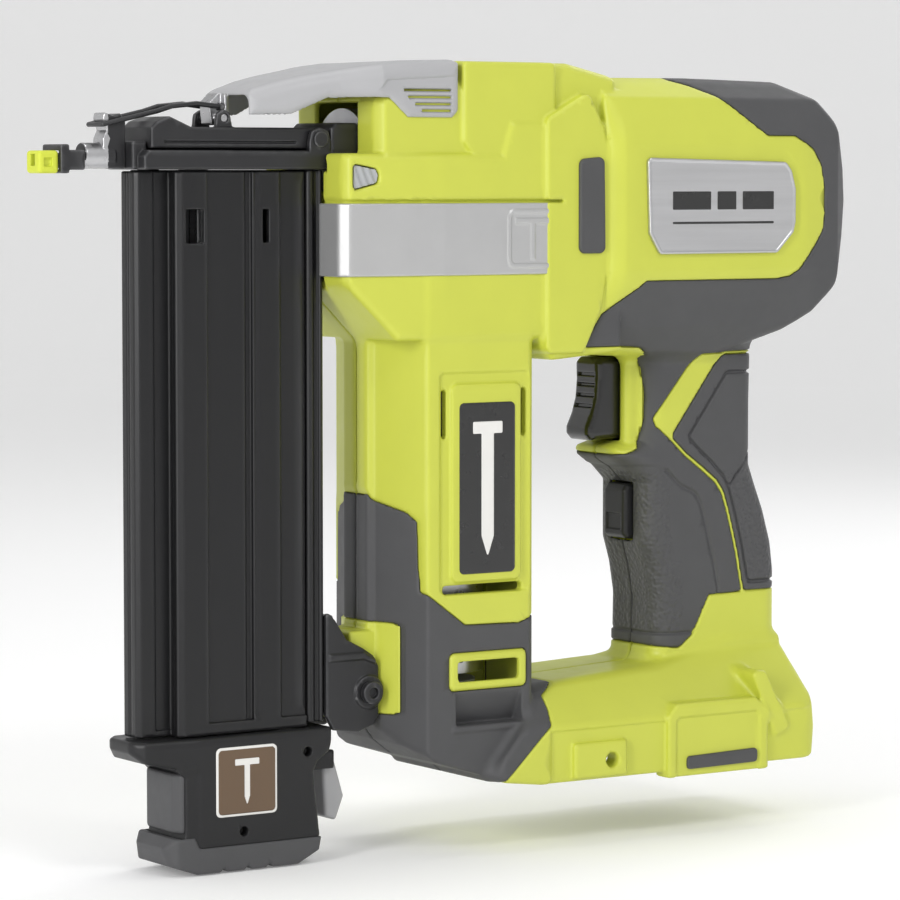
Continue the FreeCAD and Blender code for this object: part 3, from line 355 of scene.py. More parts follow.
SCREWS = [(-52, 228), (20, 282), (152, 238), (122, 196), (122, 158), (132, 108), (142, 50), (12, 46),
          (-22, 50)]


def block(x, y, z, side, plan, end=None, corner=2.0, edge=2.0):
    shape = meet(flat(x, z, side, corner), flat(x, y, plan, corner), edge)
    if end:
        shape = meet(shape, flat(y, z, end, corner), edge)
    return shape


def housing_form(x, y, z):
    """The housing's outside, soft parts included."""
    w = np.abs(y)
    head = block(x, y, z, HEAD_SIDE, HEAD_PLAN, edge=2.5)
    upper = block(x, y, z, UPPER_SIDE, UPPER_PLAN, edge=5.0)
    drum = block(x, y, z, DRUM_SIDE, DRUM_PLAN, DRUM_END, corner=3.5, edge=3.0)
    tower = block(x, y, z, TOWER_SIDE, TOWER_PLAN, corner=1.5, edge=1.5)
    foot = block(x, y, z, FOOT_SIDE, FOOT_PLAN, FOOT_END, corner=2.5, edge=2.5)
    handle = meet(flat(x, z, HANDLE_SIDE, 1.5), slab(y, -HANDLE_HALF, HANDLE_HALF), 8.5)
    handle = join(handle, brick(x, y, z, 71, 92, -11, 11, 141.5, 147, 2.5), 1.5)
    handle = join(handle, brick(x, y, z, 75.5, 86, -13, 13, 145, 184, 2.5), 1.0)
    form = join(head, upper, 1.0)
    form = join(form, drum, 0.8)
    form = join(form, tower, 2.0)
    form = join(form, handle, 5.0)
    form = join(form, foot, 3.0)
    collar = meet(flat(x, z, COLLAR, 3), slab(w, 10, HEAD_HALF + 1.6), 1.2)
    form = join(form, collar, 0.6)
    facet = meet(flat(x, z, [(-11, 291.5), (-11, 262), (-6, 256), (8, 256), (30, 264), (30, 291.5)], 1.5),
                 slab(w, 8, UPPER_HALF + 1.8), 1.4)
    form = join(form, facet, 0.8)
    # badge well, label well with its bezel, vents and louvre
    form = less(form, meet(flat(x, z, inset(BADGE, -3.2), 3), 38.3 - w), 0.8)
    form = less(form, meet(flat(x, z, BEZEL_WELL, 2), TOWER_HALF - 0.9 - w), 0.6)
    form = join(form, meet(flat(x, z, BEZEL, 3), slab(w, 24, TOWER_HALF + 0.6), 0.8), 0.3)
    rim = meet(flat(x, z, [(-17, 61.5), (-17, 74.5), (16, 74.5), (16, 61.5)], 2),
               slab(w, 24, TOWER_HALF + 0.7), 0.6)
    form = join(form, rim, 0.3)
    slope = TOWER_HALF - 0.5 * (61 - z) - w
    form = less(form, meet(meet(slab(x, -14.5, 14.5), slab(z, 48, 61), 0.8), slope), 0.6)
    form = join(form, brick(x, w, z, -16.5, 16.5, 26, TOWER_HALF + 0.6, 45.3, 47.8, 0.9), 0.6)
    # crease above the band
    band_gap = meet(meet(slab(z, 240.1, 241.2), slab(x, -70, 31.5)), -(flat(x, y, HEAD_PLAN, 2.0) + 1.5))
    form = less(form, band_gap, 0.3)
    # foot: screw boss, side panel and ridge
    form = less(form, meet(meet(slab(x, 24, 160), slab(z, 10, 43.5)), FOOT_HALF - 1.9 - w), 1.2)
    boss = brick(x, w, z, 33.5, 58, 30, FOOT_HALF + 0.6, 25, 38.5, 1.2)
    form = join(form, boss, 0.8)
    raised = meet(flat(x, z, [(77, 20), (77, 45.5), (81, 50), (119, 50), (125, 44), (125, 20)], 1.5),
                  slab(w, 30, FOOT_HALF + 0.4), 1.0)
    form = join(form, raised, 0.8)
    panel = meet(flat(x, z, [(81, 22), (81, 44.5), (120.5, 44.5), (120.5, 22)], 2.0), FOOT_HALF - 0.5 - w)
    form = less(form, panel, 0.5)
    form = join(form, meet(flat(x, z, [(117, 60), (124, 60), (136, 37), (129, 34)], 2), slab(w, 20, 38.9), 1),
                2.5)
    return form


def housing_gaps(x, y, z):
    """Openings right through the shell."""
    w = np.abs(y)
    gaps = brick(x, y, z, -70, -44, -14.6, 14.6, 251.4, 276.5)
    gaps = np.minimum(gaps, brick(x, y, z, -63, -57.8, -12.8, 12.8, 205, 260))
    gaps = np.minimum(gaps, brick(x, y, z, 64, 92, -8.4, 8.4, 148.6, 181.2, 0.5))
    gaps = np.minimum(gaps, brick(x, y, z, 76, 95, -7.5, 7.5, 110, 132.2, 0.5))
    gaps = np.minimum(gaps, brick(x, y, z, 30, 136, -31, 31, 20, 40, 1.5))
    gaps = np.minimum(gaps, brick(x, y, z, 92, 134, -12, 12, 28, 84))
    gaps = np.minimum(gaps, brick(x, w, z, -14, 13, 27, 40, 64.2, 71.8, 1.2))
    gaps = np.minimum(gaps, brick(x, w, z, -14, 14, 27, 40, 48, 51, 0.6))
    gaps = np.minimum(gaps, brick(x, w, z, -20, 15, 28, 40, 96.6, 100, 0.8))
    gaps = np.minimum(gaps, brick(x, w, z, -20.6, -18.4, 28, 40, 154, 172, 0.9))
    gaps = np.minimum(gaps, brick(x, w, z, 14.6, 16.8, 28, 40, 154, 172, 0.9))
    gaps = np.minimum(gaps, meet(flat(x, z, LAMP, 1.2), slab(w, 24, 40)))
    gaps = np.minimum(gaps, meet(rod(x, z, 51, 31.2, 2.8), slab(w, 31, 44)))
    return gaps


def right_gaps(x, y, z):
    """Screw holes and the hole of the contact rod, in the right half only."""
    gaps = meet(np.hypot(y - CONTACT_Y, z - CONTACT_Z) - 2.4, slab(x, -70, -50))
    for sx, sz in SCREWS:
        gaps = np.minimum(gaps, meet(rod(x, z, sx, sz, 3.2), 10 - y))
        gaps = np.minimum(gaps, meet(rod(x, z, sx, sz, 1.6), -y))
    return gaps


def grip_mask(x, y, z):
    drum = meet(flat(x, z, DRUM_SOFT, 0), 176 - z)
    handle = meet(flat(x, z, GRIP_SOFT, 0), z - 178)
    mask = np.minimum(drum, handle)
    mask = np.maximum(mask, -flat(x, z, TRIGGER_RIM, 3))
    mask = np.maximum(mask, -flat(x, z, CHEVRON))
    mask = np.maximum(mask, -(flat(x, z, PAD) - 1.2))
    return mask


def pad_mask(x, y, z):
    return flat(x, z, PAD, 1.5)


def boot_mask(x, y, z):
    w = np.abs(y)
    mask = flat(x, z, BOOT_SOFT, 1.0)
    rim = flat(x, z, [(-17.6, 60.9), (-17.6, 75.1), (16.6, 75.1), (16.6, 60.9)], 2)
    inlay = meet(flat(x, z, [(-50, 52), (-50, 86), (-31, 86), (-31, 52)], 2), w - 22)
    return np.maximum(np.maximum(mask, -rim), -inlay)


def half(name, turn):
    """One housing half with its overmould and boot; turn is 1 for the right side, -1 for the left."""
    def sides(x, y, z):
        y = y * turn
        form = housing_form(x, y, z)
        return y, form, meet(form, SEAM - y, 0.5)

    def shell(x, y, z):
        y, form, outside = sides(x, y, z)
        soft = np.minimum(np.minimum(grip_mask(x, y, z), pad_mask(x, y, z)), boot_mask(x, y, z))
        pocket = np.maximum(-(form + SKIN + 0.05), soft - 0.12)
        shape = less(outside, pocket, 0.45)
        inner = form + WALL + 0.2
        lug = brick(x, y, z, -47, -33, -10, 10, 49, 83, 1)
        shape = np.maximum(shape, -inner)
        shape = np.minimum(shape, meet(lug, SEAM - y))
        shape = np.minimum(shape, meet(rod(x, z, 51, 31.2, 5.5), slab(y, 27, 38)))
        shape = less(shape, housing_gaps(x, y, z), 0.4)
        if turn > 0:
            shape = less(shape, right_gaps(x, y, z), 0.3)
        return shape

    def soft_part(mask):
        def skin(x, y, z):
            y, form, outside = sides(x, y, z)
            shape = meet(outside, mask(x, y, z), 0.7)
            shape = np.maximum(shape, -(form + SKIN))
            shape = np.maximum(shape, -housing_gaps(x, y, z))
            return np.maximum(shape, -right_gaps(x, y, z)) if turn > 0 else shape
        return skin

    low_y, high_y = sorted((0.0, turn * 41.0))
    carve("housing_" + name, shell, (-61, low_y, 24), (171, high_y, 292), 0.9, lime, "housing",
          ["housing_" + name])

    def grained(shape):
        def with_panel(x, y, z):
            panel = flat(x, z, GRIP_GRAIN, 2)
            form = housing_form(x, y, z)
            recess = meet(panel, -(form + 0.4))
            groove = meet(meet(np.abs(panel) - 0.55, z - 137.6), -(form + 1.0))
            return less(less(shape(x, y, z), recess, 0.3), groove, 0.2)
        return with_panel
    grip = carve("grip_overmould_" + name, grained(soft_part(grip_mask)), (41, low_y, 68),
                 (171, high_y, 288), 0.8, grey, "housing", ["grip_overmould_" + name])

    def front_strip(x, y, z):
        return np.maximum(np.maximum(flat(x, z, GRIP_GRAIN, 2) + 1.2, z - 137), x + 0.12 * z - 109)

    paint(grip, grip_texture, front_strip)
    carve("tower_boot_" + name, soft_part(boot_mask), (-39, low_y, 26), (34, high_y, 138), 0.7, grey,
          "housing", ["tower_boot_" + name])


half("right", 1)
half("left", -1)


def rear_pad(x, y, z):
    form = housing_form(x, y, z)
    shape = meet(form, pad_mask(x, y, z), 0.8)
    inlay = flat(x, z, PAD_GRAIN, 2)
    shape = less(shape, meet(np.abs(inlay) - 0.55, -(form + 1.15)), 0.2)
    step = meet(meet(inlay, np.abs(x - z * 0.9 - 4.5) - 0.6), -(form + 0.9))
    shape = less(shape, meet(step, slab(z, 128, 150)), 0.2)
    return np.maximum(shape, -(form + SKIN))


pad = carve("rear_grip_pad", rear_pad, (94, -19, 88), (150, 19, 182), 0.7, grey, "housing",
            ["rear_grip_pad"])
paint(pad, grip_texture, lambda x, y, z: np.maximum(flat(x, z, PAD_GRAIN, 2) + 1.2, z - 136))


# ---- trim on the housing ----
def top_cover(x, y, z):
    w = np.abs(y)
    side = [(-94, 270), (-94, 280), (-80, 284.2), (-70, 286.3), (-60, 288), (-48, 290), (-36, 291.5),
            (-11.5, 292.2), (-11.5, 273), (-15, 269.5), (-35, 269.5), (-43, 276.5), (-64, 276.5), (-77, 270.5)]
    plan = mirrored([(-94, 16.5), (-60, 26), (-46, 32), (-11.5, 32)])
    outside = meet(flat(x, z, side, 1.5), flat(x, y, plan, 2), 5.0)
    room = [(-98, 250), (-98, 277.4), (-80, 281.6), (-60, 285.4), (-38, 288.7), (-8, 289.7), (-8, 250)]
    hollow = meet(flat(x, z, room),
                  flat(x, y, mirrored([(-98, 13.6), (-60, 23.8), (-46, 30.1), (-8, 30.1)])), 4.0)
    shape = less(outside, hollow, 0.4)
    cheek = [(-50, 276.5), (-44, 284.2), (-13, 286), (-13, 271), (-35, 271), (-43, 277.6)]
    crease = meet(flat(x, z, cheek, 1.5), 31.3 - w)
    shape = less(shape, crease, 0.8)
    for start, height in ((-37, 280.8), (-35, 278.3), (-32, 275.8), (-29, 273.4)):
        shape = less(shape, brick(x, w, z, start, -16, 30.2, 36, height - 0.55, height + 0.55, 0.4), 0.2)
    return shape


carve("top_cover", top_cover, (-94, -32, 269), (-11, 32, 292.2), 0.5, pale, "housing", ["top_cover"])


def side_bands(x, y, z):
    w = np.abs(y)
    head = flat(x, y, HEAD_PLAN, 2.0)
    shape = meet(meet(head - 1.0, slab(z, 213.6, 240), 0.6), -head - 0.1)
    shape = meet(meet(shape, slab(x, -63, 31), 0.4), 13.2 - w, 0.4)
    frame_edge = flat(x, z, [(6.5, 216), (6.5, 237.6), (29.3, 237.6), (29.3, 216)], 3.5)
    raised = np.abs(frame_edge + 0.8) - 0.8
    nail = np.minimum(meet(slab(x, 10, 25.5), slab(z, 232.3, 234.3)),
                      meet(slab(x, 16.8, 18.8), slab(z, 219, 233)))
    raised = meet(np.minimum(raised, nail), slab(w, 30, HEAD_HALF + 1.4), 0.3)
    return join(shape, raised, 0.25)


carve("side_bands", side_bands, (-62, -34.5, 213), (31, 34.5, 240.5), 0.42, silver, "housing", ["side_bands"])


def side_badges(x, y, z):
    w = np.abs(y)
    outline = flat(x, z, inset(BADGE, 0.4), 2.0)
    shape = meet(outline, slab(w, 37.9, 39.3), 0.3)
    return join(shape, meet(np.abs(outline + 0.6) - 0.5, slab(w, 38, 39.6), 0.2), 0.15)


carve("side_badges", side_badges, (65, -40, 219), (138, 40, 258), 0.4, brushed, "housing", ["side_badges"])


def badge_marks(x, y, z):
    """Plain printed bars on the badges, where a maker would put a name."""
    w = np.abs(y)
    bars = np.float32(99)
    for start, end, low, high in ((78, 96, 237, 244), (99, 108, 237, 244), (111, 126, 237, 244),
                                  (78, 126, 231.6, 232.6)):
        bars = np.minimum(bars, meet(slab(x, start, end), slab(z, low, high), 0.3))
    return meet(bars, slab(w, 39.0, 39.5), 0.1)


carve("badge_marks", badge_marks, (77, -39.6, 231), (127, 39.6, 245), 0.3, plate_black, "housing")


def label_plates(x, y, z):
    return meet(flat(x, z, LABEL, 2.0), slab(np.abs(y), 31, 32.95), 0.3)


carve("label_plates", label_plates, (-14, -33, 103.5), (11, 33, 167.5), 0.4, plate_black, "housing",
      ["label_plates"])


def label_nails(x, y, z):
    """A plain picture of a nail on each label."""
    nail = [(-8, 160), (5, 160), (5, 155.5), (1.3, 155.5), (1.3, 118), (-1.5, 110), (-4.3, 118), (-4.3, 155.5),
            (-8, 155.5)]
    return meet(flat(x, z, nail, 0.4), slab(np.abs(y), 32.6, 33.15), 0.1)


carve("label_nails", label_nails, (-9, -33.2, 109), (6, 33.2, 161), 0.3, white, "housing")


def rubber_bumpers(x, y, z):
    w = np.abs(y)
    pads = meet(flat(x, z, [(38, 221), (38, 256), (49.3, 257), (49.8, 221)], 2.5), slab(w, 31, 36.0), 0.9)
    bars = meet(flat(x, z, [(86, 24.6), (86, 29.6), (119.5, 30.4), (119.5, 25)], 1.5), slab(w, 36, 39.8), 0.8)
    return np.minimum(pads, bars)


carve("rubber_bumpers", rubber_bumpers, (37, -37, 220), (51, 37, 258), 0.45, grey, "housing",
      ["rubber_bumpers"])
carve("foot_bars", rubber_bumpers, (85, -40, 24), (121, 40, 31), 0.4, grey, "housing")


def led_lenses(x, y, z):
    outline = flat(x, z, inset(LAMP, 0.35), 0.9)
    w = np.abs(y)
    ribs = 0.25 * np.cos((x + 0.4 * z) * 2.2)
    return meet(meet(outline, flat(x, y, HEAD_PLAN, 1.2) + 0.9 + ribs, 0.3), 27.6 - w)


carve("led_lenses", led_lenses, (-58, -32, 244), (-46, 32, 255), 0.35, lens, "housing", ["led_lenses"])

# ---- controls ----
TRIGGER = [(63.5, 148.9), (61.4, 151.2), (61.4, 154), (63.8, 159), (65.6, 165), (66.2, 172), (66, 178.5),
           (68, 180.6), (86, 180.6), (86, 149.6)]


def trigger(x, y, z):
    shape = meet(flat(x, z, TRIGGER, 1.5), slab(y, -8, 8), 2.6)
    for height in (162, 166, 170, 174):
        band = meet(slab(z, height - 0.6, height + 0.6), slab(y, -5.5, 5.5))
        rib = meet(band, -(flat(x, z, TRIGGER) + 1.1))
        shape = less(shape, rib, 0.5)
    return less(shape, brick(x, y, z, 80, 88, -5, 5, 156, 174))


carve("trigger", trigger, (61, -8, 148.8), (86, 8, 181), 0.4, gloss, "trigger", ["trigger"])


def mode_button(x, y, z):
    side = [(79.3, 112), (79.3, 129), (81, 131.7), (86.5, 131.7), (86.5, 110.5), (81, 110.5)]
    key = meet(flat(x, z, side, 1.2), slab(y, -7, 7), 1.8)
    key = less(key, brick(x, y, z, 78, 79.9, -4.6, 4.6, 114, 120, 0.3), 0.3)
    return np.minimum(key, brick(x, y, z, 86, 88, -8.6, 8.6, 109.6, 133, 0.4))


carve("mode_button", mode_button, (79, -8.6, 109), (88, 8.6, 133), 0.4, black, "mode_button", ["mode_button"])

# ---- magazine ----
MAG_PLAN = mirrored([(-132.9, 0.35), (-133.5, 0.9), (-133.5, 4.2), (-132.0, 5.9), (-119.9, 5.9),
                     (-119.9, 10.2), (-117.6, 12), (-66.5, 12)])


def magazine_cover(x, y, z):
    w = np.abs(y)
    shape = meet(flat(x, y, MAG_PLAN, 0.35), slab(z, 49.6, 251.6), 0.7)
    for start, end in ((-107.5, -88.8), (-77.3, -60)):
        shape = less(shape, brick(x, w, z, start, end, 10.9, 14, 54, 262, 0.3), 0.3)
        shape = less(shape, brick(x, w, z, end - 2.6, end, 9.9, 14, 54, 262, 0.2), 0.2)
    shape = less(shape, brick(x, w, z, -89, -86, 11.1, 14, 54, 262, 2.4), 0.9)
    shape = less(shape, brick(x, w, z, -116.2, -109, 9, 14, 226, 238, 0.8), 0.4)
    shape = less(shape, brick(x, w, z, -84.6, -82, 9, 14, 226, 238, 0.6), 0.3)
    shape = less(shape, brick(x, w, z, -126.2, -119.6, 5.1, 8, 52, 262, 0.2), 0.2)
    rooms = meet(slab(x, -131.5, -115), w - 4.2)
    rooms = np.minimum(rooms, meet(slab(x, -118.5, -55), w - 9.2))
    shape = np.maximum(shape, -rooms)
    wall = brick(x, y, z, -132.5, -74, -3.2, -0.8, 50, 251.5)
    wall = np.maximum(wall, -brick(x, y, z, -104.6, -101.4, -4, 0, 56, 251))
    web = brick(x, y, z, -76, -74, -10, -0.8, 50, 251.5)
    return np.minimum(np.minimum(shape, wall), web)


carve("magazine_cover", magazine_cover, (-133.5, -12, 49.5), (-66.4, 12, 251.6), 0.5, anodised,
      "magazine_slide", ["magazine_cover"])


def magazine_rail(x, y, z):
    spine = meet(flat(x, y, mirrored([(-66, 11.2), (-65.2, 12), (-63.6, 12), (-63.1, 10.9), (-61.4, 10.9),
                                      (-60.9, 12), (-60, 12), (-59, 11)]), 0.25), slab(z, 51, 252), 0.6)
    head = brick(x, y, z, -73.5, -62, -3.2, 3.4, 51, 252, 0.4)
    rail = brick(x, y, z, -130.5, -62, 0.8, 3.4, 51, 252, 0.3)
    return np.minimum(np.minimum(spine, head), rail)


carve("magazine_rail", magazine_rail, (-130.5, -12, 51), (-59, 12, 252), 0.5, anodised, "housing",
      ["magazine_rail"])

CAP_SIDE = [(-138, 49), (-138, 45), (-134, 41.2), (-122, 38.5), (-118.5, 35), (-118.5, 15), (-120, 9),
            (-62.5, 9), (-64, 22), (-65.3, 33.4), (-63.5, 37), (-58.5, 40.5), (-57, 44), (-57, 49.4)]
CAP_PLAN = mirrored([(-138.8, 7), (-134, 12.5), (-122, CAP_HALF - 1.2), (-113, CAP_HALF), (-57, CAP_HALF)])


def base_cap(x, y, z):
    w = np.abs(y)
    shape = meet(flat(x, z, CAP_SIDE, 1.2), flat(x, y, CAP_PLAN, 2.0), 1.6)
    shape = less(shape, brick(x, w, z, -125, -112.5, CAP_HALF - 1.0, 20, 8, 38, 2.0), 1.0)
    for hx, hz in ((-95, 14.2), (-68, 41)):
        shape = less(shape, meet(rod(x, z, hx, hz, 1.7), 11 - w), 0.4)
    ears = np.minimum(brick(x, w, z, -64, -53.5, 7.4, 9.6, 33, 40, 0.6),
                      meet(rod(x, z, RELEASE_X, RELEASE_Z, 1.45), slab(y, -9.6, 9.6)))
    return np.minimum(shape, ears)


carve("base_cap", base_cap, (-138.8, -15, 9), (-53.5, 15, 49.5), 0.5, black, "magazine_slide", ["base_cap"])


def cap_panel(x, y, z):
    """Rounded lighter panel let into the front of the cap."""
    outline = meet(flat(x, y, mirrored([(-121.6, 9.0), (-119.8, 12.6), (-113.5, 14.1), (-111.5, 14.1)]), 1.5),
                   slab(z, 15, 36.5), 1.2)
    return np.maximum(outline, -meet(slab(x, -118.2, -100), np.abs(y) - 13.7))


carve("cap_panel", cap_panel, (-122, -14.5, 14), (-111, 14.5, 37), 0.45, grey, "magazine_slide")


def base_label(x, y, z):
    shape = flat(x, z, [(-106.8, 20), (-106.8, 45.2), (-81.3, 45.2), (-81.3, 20)], 2.0)
    return meet(shape, slab(np.abs(y), CAP_HALF - 0.5, CAP_HALF + 0.3), 0.15)


def label_print(x, y, z):
    """The brown field of the label, with a plain picture of a nail left bare."""
    shape = flat(x, z, [(-105.9, 20.9), (-105.9, 44.3), (-82.2, 44.3), (-82.2, 20.9)], 1.5)
    nail = np.minimum(meet(slab(x, -99, -89), slab(z, 38.5, 40.7)),
                      meet(slab(x, -95.1, -92.9), slab(z, 27, 39)))
    point = flat(x, z, [(-95.1, 27.1), (-92.9, 27.1), (-94, 24)])
    shape = np.maximum(shape, -np.minimum(nail, point))
    return meet(shape, slab(np.abs(y), CAP_HALF - 0.3, CAP_HALF + 0.45))


carve("base_label", base_label, (-107, -15.4, 19.8), (-81, 15.4, 45.4), 0.35, white, "magazine_slide",
      ["base_label"])
carve("base_label_print", label_print, (-106, -15.5, 20.5), (-82, 15.5, 44.5), 0.28, brown, "magazine_slide")


def rubber_foot(x, y, z):
    side = [(-124, 3.5), (-114, 0), (-104.6, 0), (-103, 1.4), (-101.4, 0), (-94.6, 0), (-93, 1.4), (-91.4, 0),
            (-85.6, 0), (-84, 1.4), (-82.4, 0), (-72, 0), (-63, 4.5), (-62, 9.6), (-113, 9.6), (-115, 13.6),
            (-123, 13.6), (-126, 10)]
    plan = mirrored([(-127, 9), (-122, CAP_HALF - 0.5), (-110, CAP_HALF), (-60, CAP_HALF)])
    shape = meet(flat(x, z, side, 0.5), flat(x, y, plan, 2.5), 1.2)
    core = meet(slab(x, -120.6, -50), np.maximum(np.abs(y) - 13.6, 9.0 - z))
    return np.maximum(shape, -core)


carve("rubber_foot", rubber_foot, (-126, -15, 0), (-61.5, 15, 14), 0.45, grey, "magazine_slide",
      ["rubber_foot"])


def release_lever(x, y, z):
    side = [(-58, 38), (-57, 34), (-56, 15), (-51, 13), (-47.5, 22), (-52.5, 38.6)]
    shape = np.minimum(meet(flat(x, z, side, 1.2), slab(y, -7, 7), 1.6),
                       meet(rod(x, z, RELEASE_X, RELEASE_Z, 3), slab(y, -7, 7)))
    return np.maximum(shape, -rod(x, z, RELEASE_X, RELEASE_Z, 1.5))


carve("release_lever", release_lever, (-59.5, -7, 12.5), (-47, 7, 39.5), 0.4, pale, "release_lever",
      ["release_lever"])

BRACKET_X, BRACKET_Z = -41.0, 60.7


def magazine_bracket(x, y, z):
    w = np.abs(y)
    ear = [(-59, 53), (-56, 47.5), (-45, 46), (-38, 48.6), (-36.3, 52), (-36.3, 70), (-38.5, 74), (-43, 77),
           (-50, 80.5), (-55, 88), (-59, 92)]
    shape = meet(flat(x, z, ear, 1.0), slab(w, 10.6, 13.2), 0.8)
    shape = np.minimum(shape, brick(x, y, z, -58.9, -56, -13.2, 13.2, 53, 90, 0.8))
    fold = meet(flat(x, z, [(-58, 75.5), (-43, 75.5), (-38, 72.5), (-38, 71), (-43, 73), (-58, 73)]),
                slab(w, 12, 13.9), 0.5)
    shape = join(shape, fold, 0.8)
    shape = join(shape, meet(rod(x, z, BRACKET_X, BRACKET_Z, 6.2), slab(w, 12, 14.2), 0.6), 0.6)
    return np.maximum(shape, -rod(x, z, BRACKET_X, BRACKET_Z, 2.6))


carve("magazine_bracket", magazine_bracket, (-59, -14.2, 46), (-34.5, 14.2, 92), 0.42, black_steel, "housing",
      ["magazine_bracket"])


def bracket_bolt(x, y, z):
    head = meet(meet(rod(x, z, BRACKET_X, BRACKET_Z, 4.2), slab(y, -17.2, -14.3), 0.6),
                -meet(rod(x, z, BRACKET_X, BRACKET_Z, 2.0), y + 15.4))
    turns = [(BRACKET_X + 4.6 * math.cos(math.radians(a)), BRACKET_Z + 4.6 * math.sin(math.radians(a)))
             for a in range(0, 360, 60)]
    nut = meet(flat(x, z, turns, 0.3), slab(y, 14.3, 17.4), 0.5)
    shank = meet(rod(x, z, BRACKET_X, BRACKET_Z, 2.45), slab(y, -15, 17.8), 0.4)
    return np.minimum(np.minimum(head, nut), shank)


carve("bracket_bolt", bracket_bolt, (-46, -17.3, 55.5), (-36, 17.9, 66), 0.35, black_steel, "housing",
      ["bracket_bolt"])

# ---- nose ----
def nose_plate(x, y, z):
    w = np.abs(y)
    plate = meet(flat(x, z, [(-134, 252.1), (-134, 257), (-132, 259), (-44, 259), (-44, 252.1)], 0.6),
                 slab(y, -14, 14), 0.9)
    rear = meet(flat(x, z, [(-57, 258), (-57, 267), (-55, 269), (-46, 269), (-44, 267), (-44, 258)], 0.8),
                slab(y, -14, 14), 1.0)
    ears = meet(flat(x, z, [(-66, 258), (-66, 262), (-65, 266), (-61.5, 267.4), (-58, 266), (-57, 262),
                            (-57, 258)], 1.5), slab(w, 11.5, 13.9), 0.4)
    front = meet(flat(x, z, [(-136, 252.1), (-136, 262.2), (-130.2, 262.2), (-129.8, 258), (-128, 252.1)], 0.8),
                 slab(y, -9, 9), 1.4)
    shape = np.minimum(np.minimum(plate, front), np.minimum(rear, ears))
    shape = np.maximum(shape, -rod(x, z, HINGE_X, HINGE_Z, 2.0))
    channel = meet(meet(w - 0.9, slab(z, BORE_Z - 1.8, 264)), slab(x, -150, -44.5))
    feed = brick(x, y, z, -129, -77, -0.75, 0.75, 250, BORE_Z)
    return np.maximum(shape, -np.minimum(channel, feed))


carve("nose_plate", nose_plate, (-136, -14, 252), (-44, 14, 269), 0.42, black_steel, "housing", ["nose_plate"])


def nose_piece(x, y, z):
    w = np.abs(y)
    barrel = meet(np.hypot(y, z - BORE_Z - 1.5) - 4.6, slab(x, -152, -140), 0.5)
    tip = brick(x, y, z, -155.6, -136, -4, 4, 252.5, 258.5, 0.5)
    hook = meet(flat(x, z, [(-136, 257), (-145, 257), (-145, 263), (-143.6, 266), (-145, 270), (-144.5, 272.4),
                            (-141, 271), (-138, 272), (-136, 269)], 0.6), slab(y, -4, 4), 0.6)
    shape = np.minimum(join(barrel, tip, 0.5), hook)
    return np.maximum(shape, -meet(w - 0.9, slab(z, BORE_Z - 1.8, BORE_Z + 1.8)))


barrel_piece = carve("nose_piece", nose_piece, (-156, -4.7, 252), (-135.8, 4.7, 273), 0.33, black_steel,
                     "housing", ["nose_piece"])
paint(barrel_piece, steel,
      lambda x, y, z: np.maximum(slab(x, -152.5, -143), 4.35 - np.hypot(y, z - BORE_Z - 1.5)))


def jam_door(x, y, z):
    w = np.abs(y)
    side = [(-129.5, 259.6), (-129.5, 267), (-127, 269.2), (-122, 271), (-113, 267.2),
            (-61.5, 267.2), (-58.4, 266.1), (-57.6, 263), (-58.4, 259.9), (-61.5, 259.6)]
    plate = meet(flat(x, z, side, 0.7), slab(y, -11, 11), 0.9)
    plate = less(plate, brick(x, w, z, -110, -70, -1, 7, 266.4, 270, 0.5), 0.5)
    plate = less(plate, brick(x, w, z, -124, -70, 10.2, 12, 261.4, 262.2, 0.1), 0.2)
    rib = brick(x, y, z, -128, -68, -0.6, 0.6, 257.4, 261)
    ears = meet(flat(x, z, [(-102.5, 265), (-101.6, 272), (-99, 273.6), (-96.4, 272.6), (-94.8, 265)], 0.8),
                slab(w, 7, 9), 0.5)
    pin = meet(rod(x, z, HINGE_X, HINGE_Z, 1.95), slab(y, -14.4, 14.4), 0.4)
    pin_head = meet(rod(x, z, HINGE_X, HINGE_Z, 3.0), slab(w, 14.0, 14.6), 0.3)
    shape = np.minimum(np.minimum(plate, rib), np.minimum(join(plate, ears, 0.6), np.minimum(pin, pin_head)))
    return np.maximum(shape, -meet(rod(x, z, LATCH_X, LATCH_Z, 1.55), slab(y, -12, 12)))


carve("jam_door", jam_door, (-129.5, -14.6, 257), (-57.5, 14.6, 273.8), 0.4, black_steel, "jam_door",
      ["jam_door"])


def latch_lever(x, y, z):
    w = np.abs(y)
    side = [(-101, 268), (-102, 276), (-98, 279.6), (-95.2, 279), (-95.4, 268)]
    body = meet(flat(x, z, side, 0.8), slab(y, -6.6, 6.6), 0.8)
    pin = meet(rod(x, z, LATCH_X, LATCH_Z, 1.5), slab(y, -8.6, 8.6))
    body = np.maximum(body, -brick(x, w, z, -112, -97.2, 3.6, 6.8, 266.5, 281))
    shape = np.minimum(body, pin)
    return np.maximum(shape, -rod(x, z, -98, 274.5, 1.1))


carve("latch_lever", latch_lever, (-102.2, -8.6, 267.8), (-95, 8.6, 279.8), 0.33, steel, "latch_lever",
      ["latch_lever"])


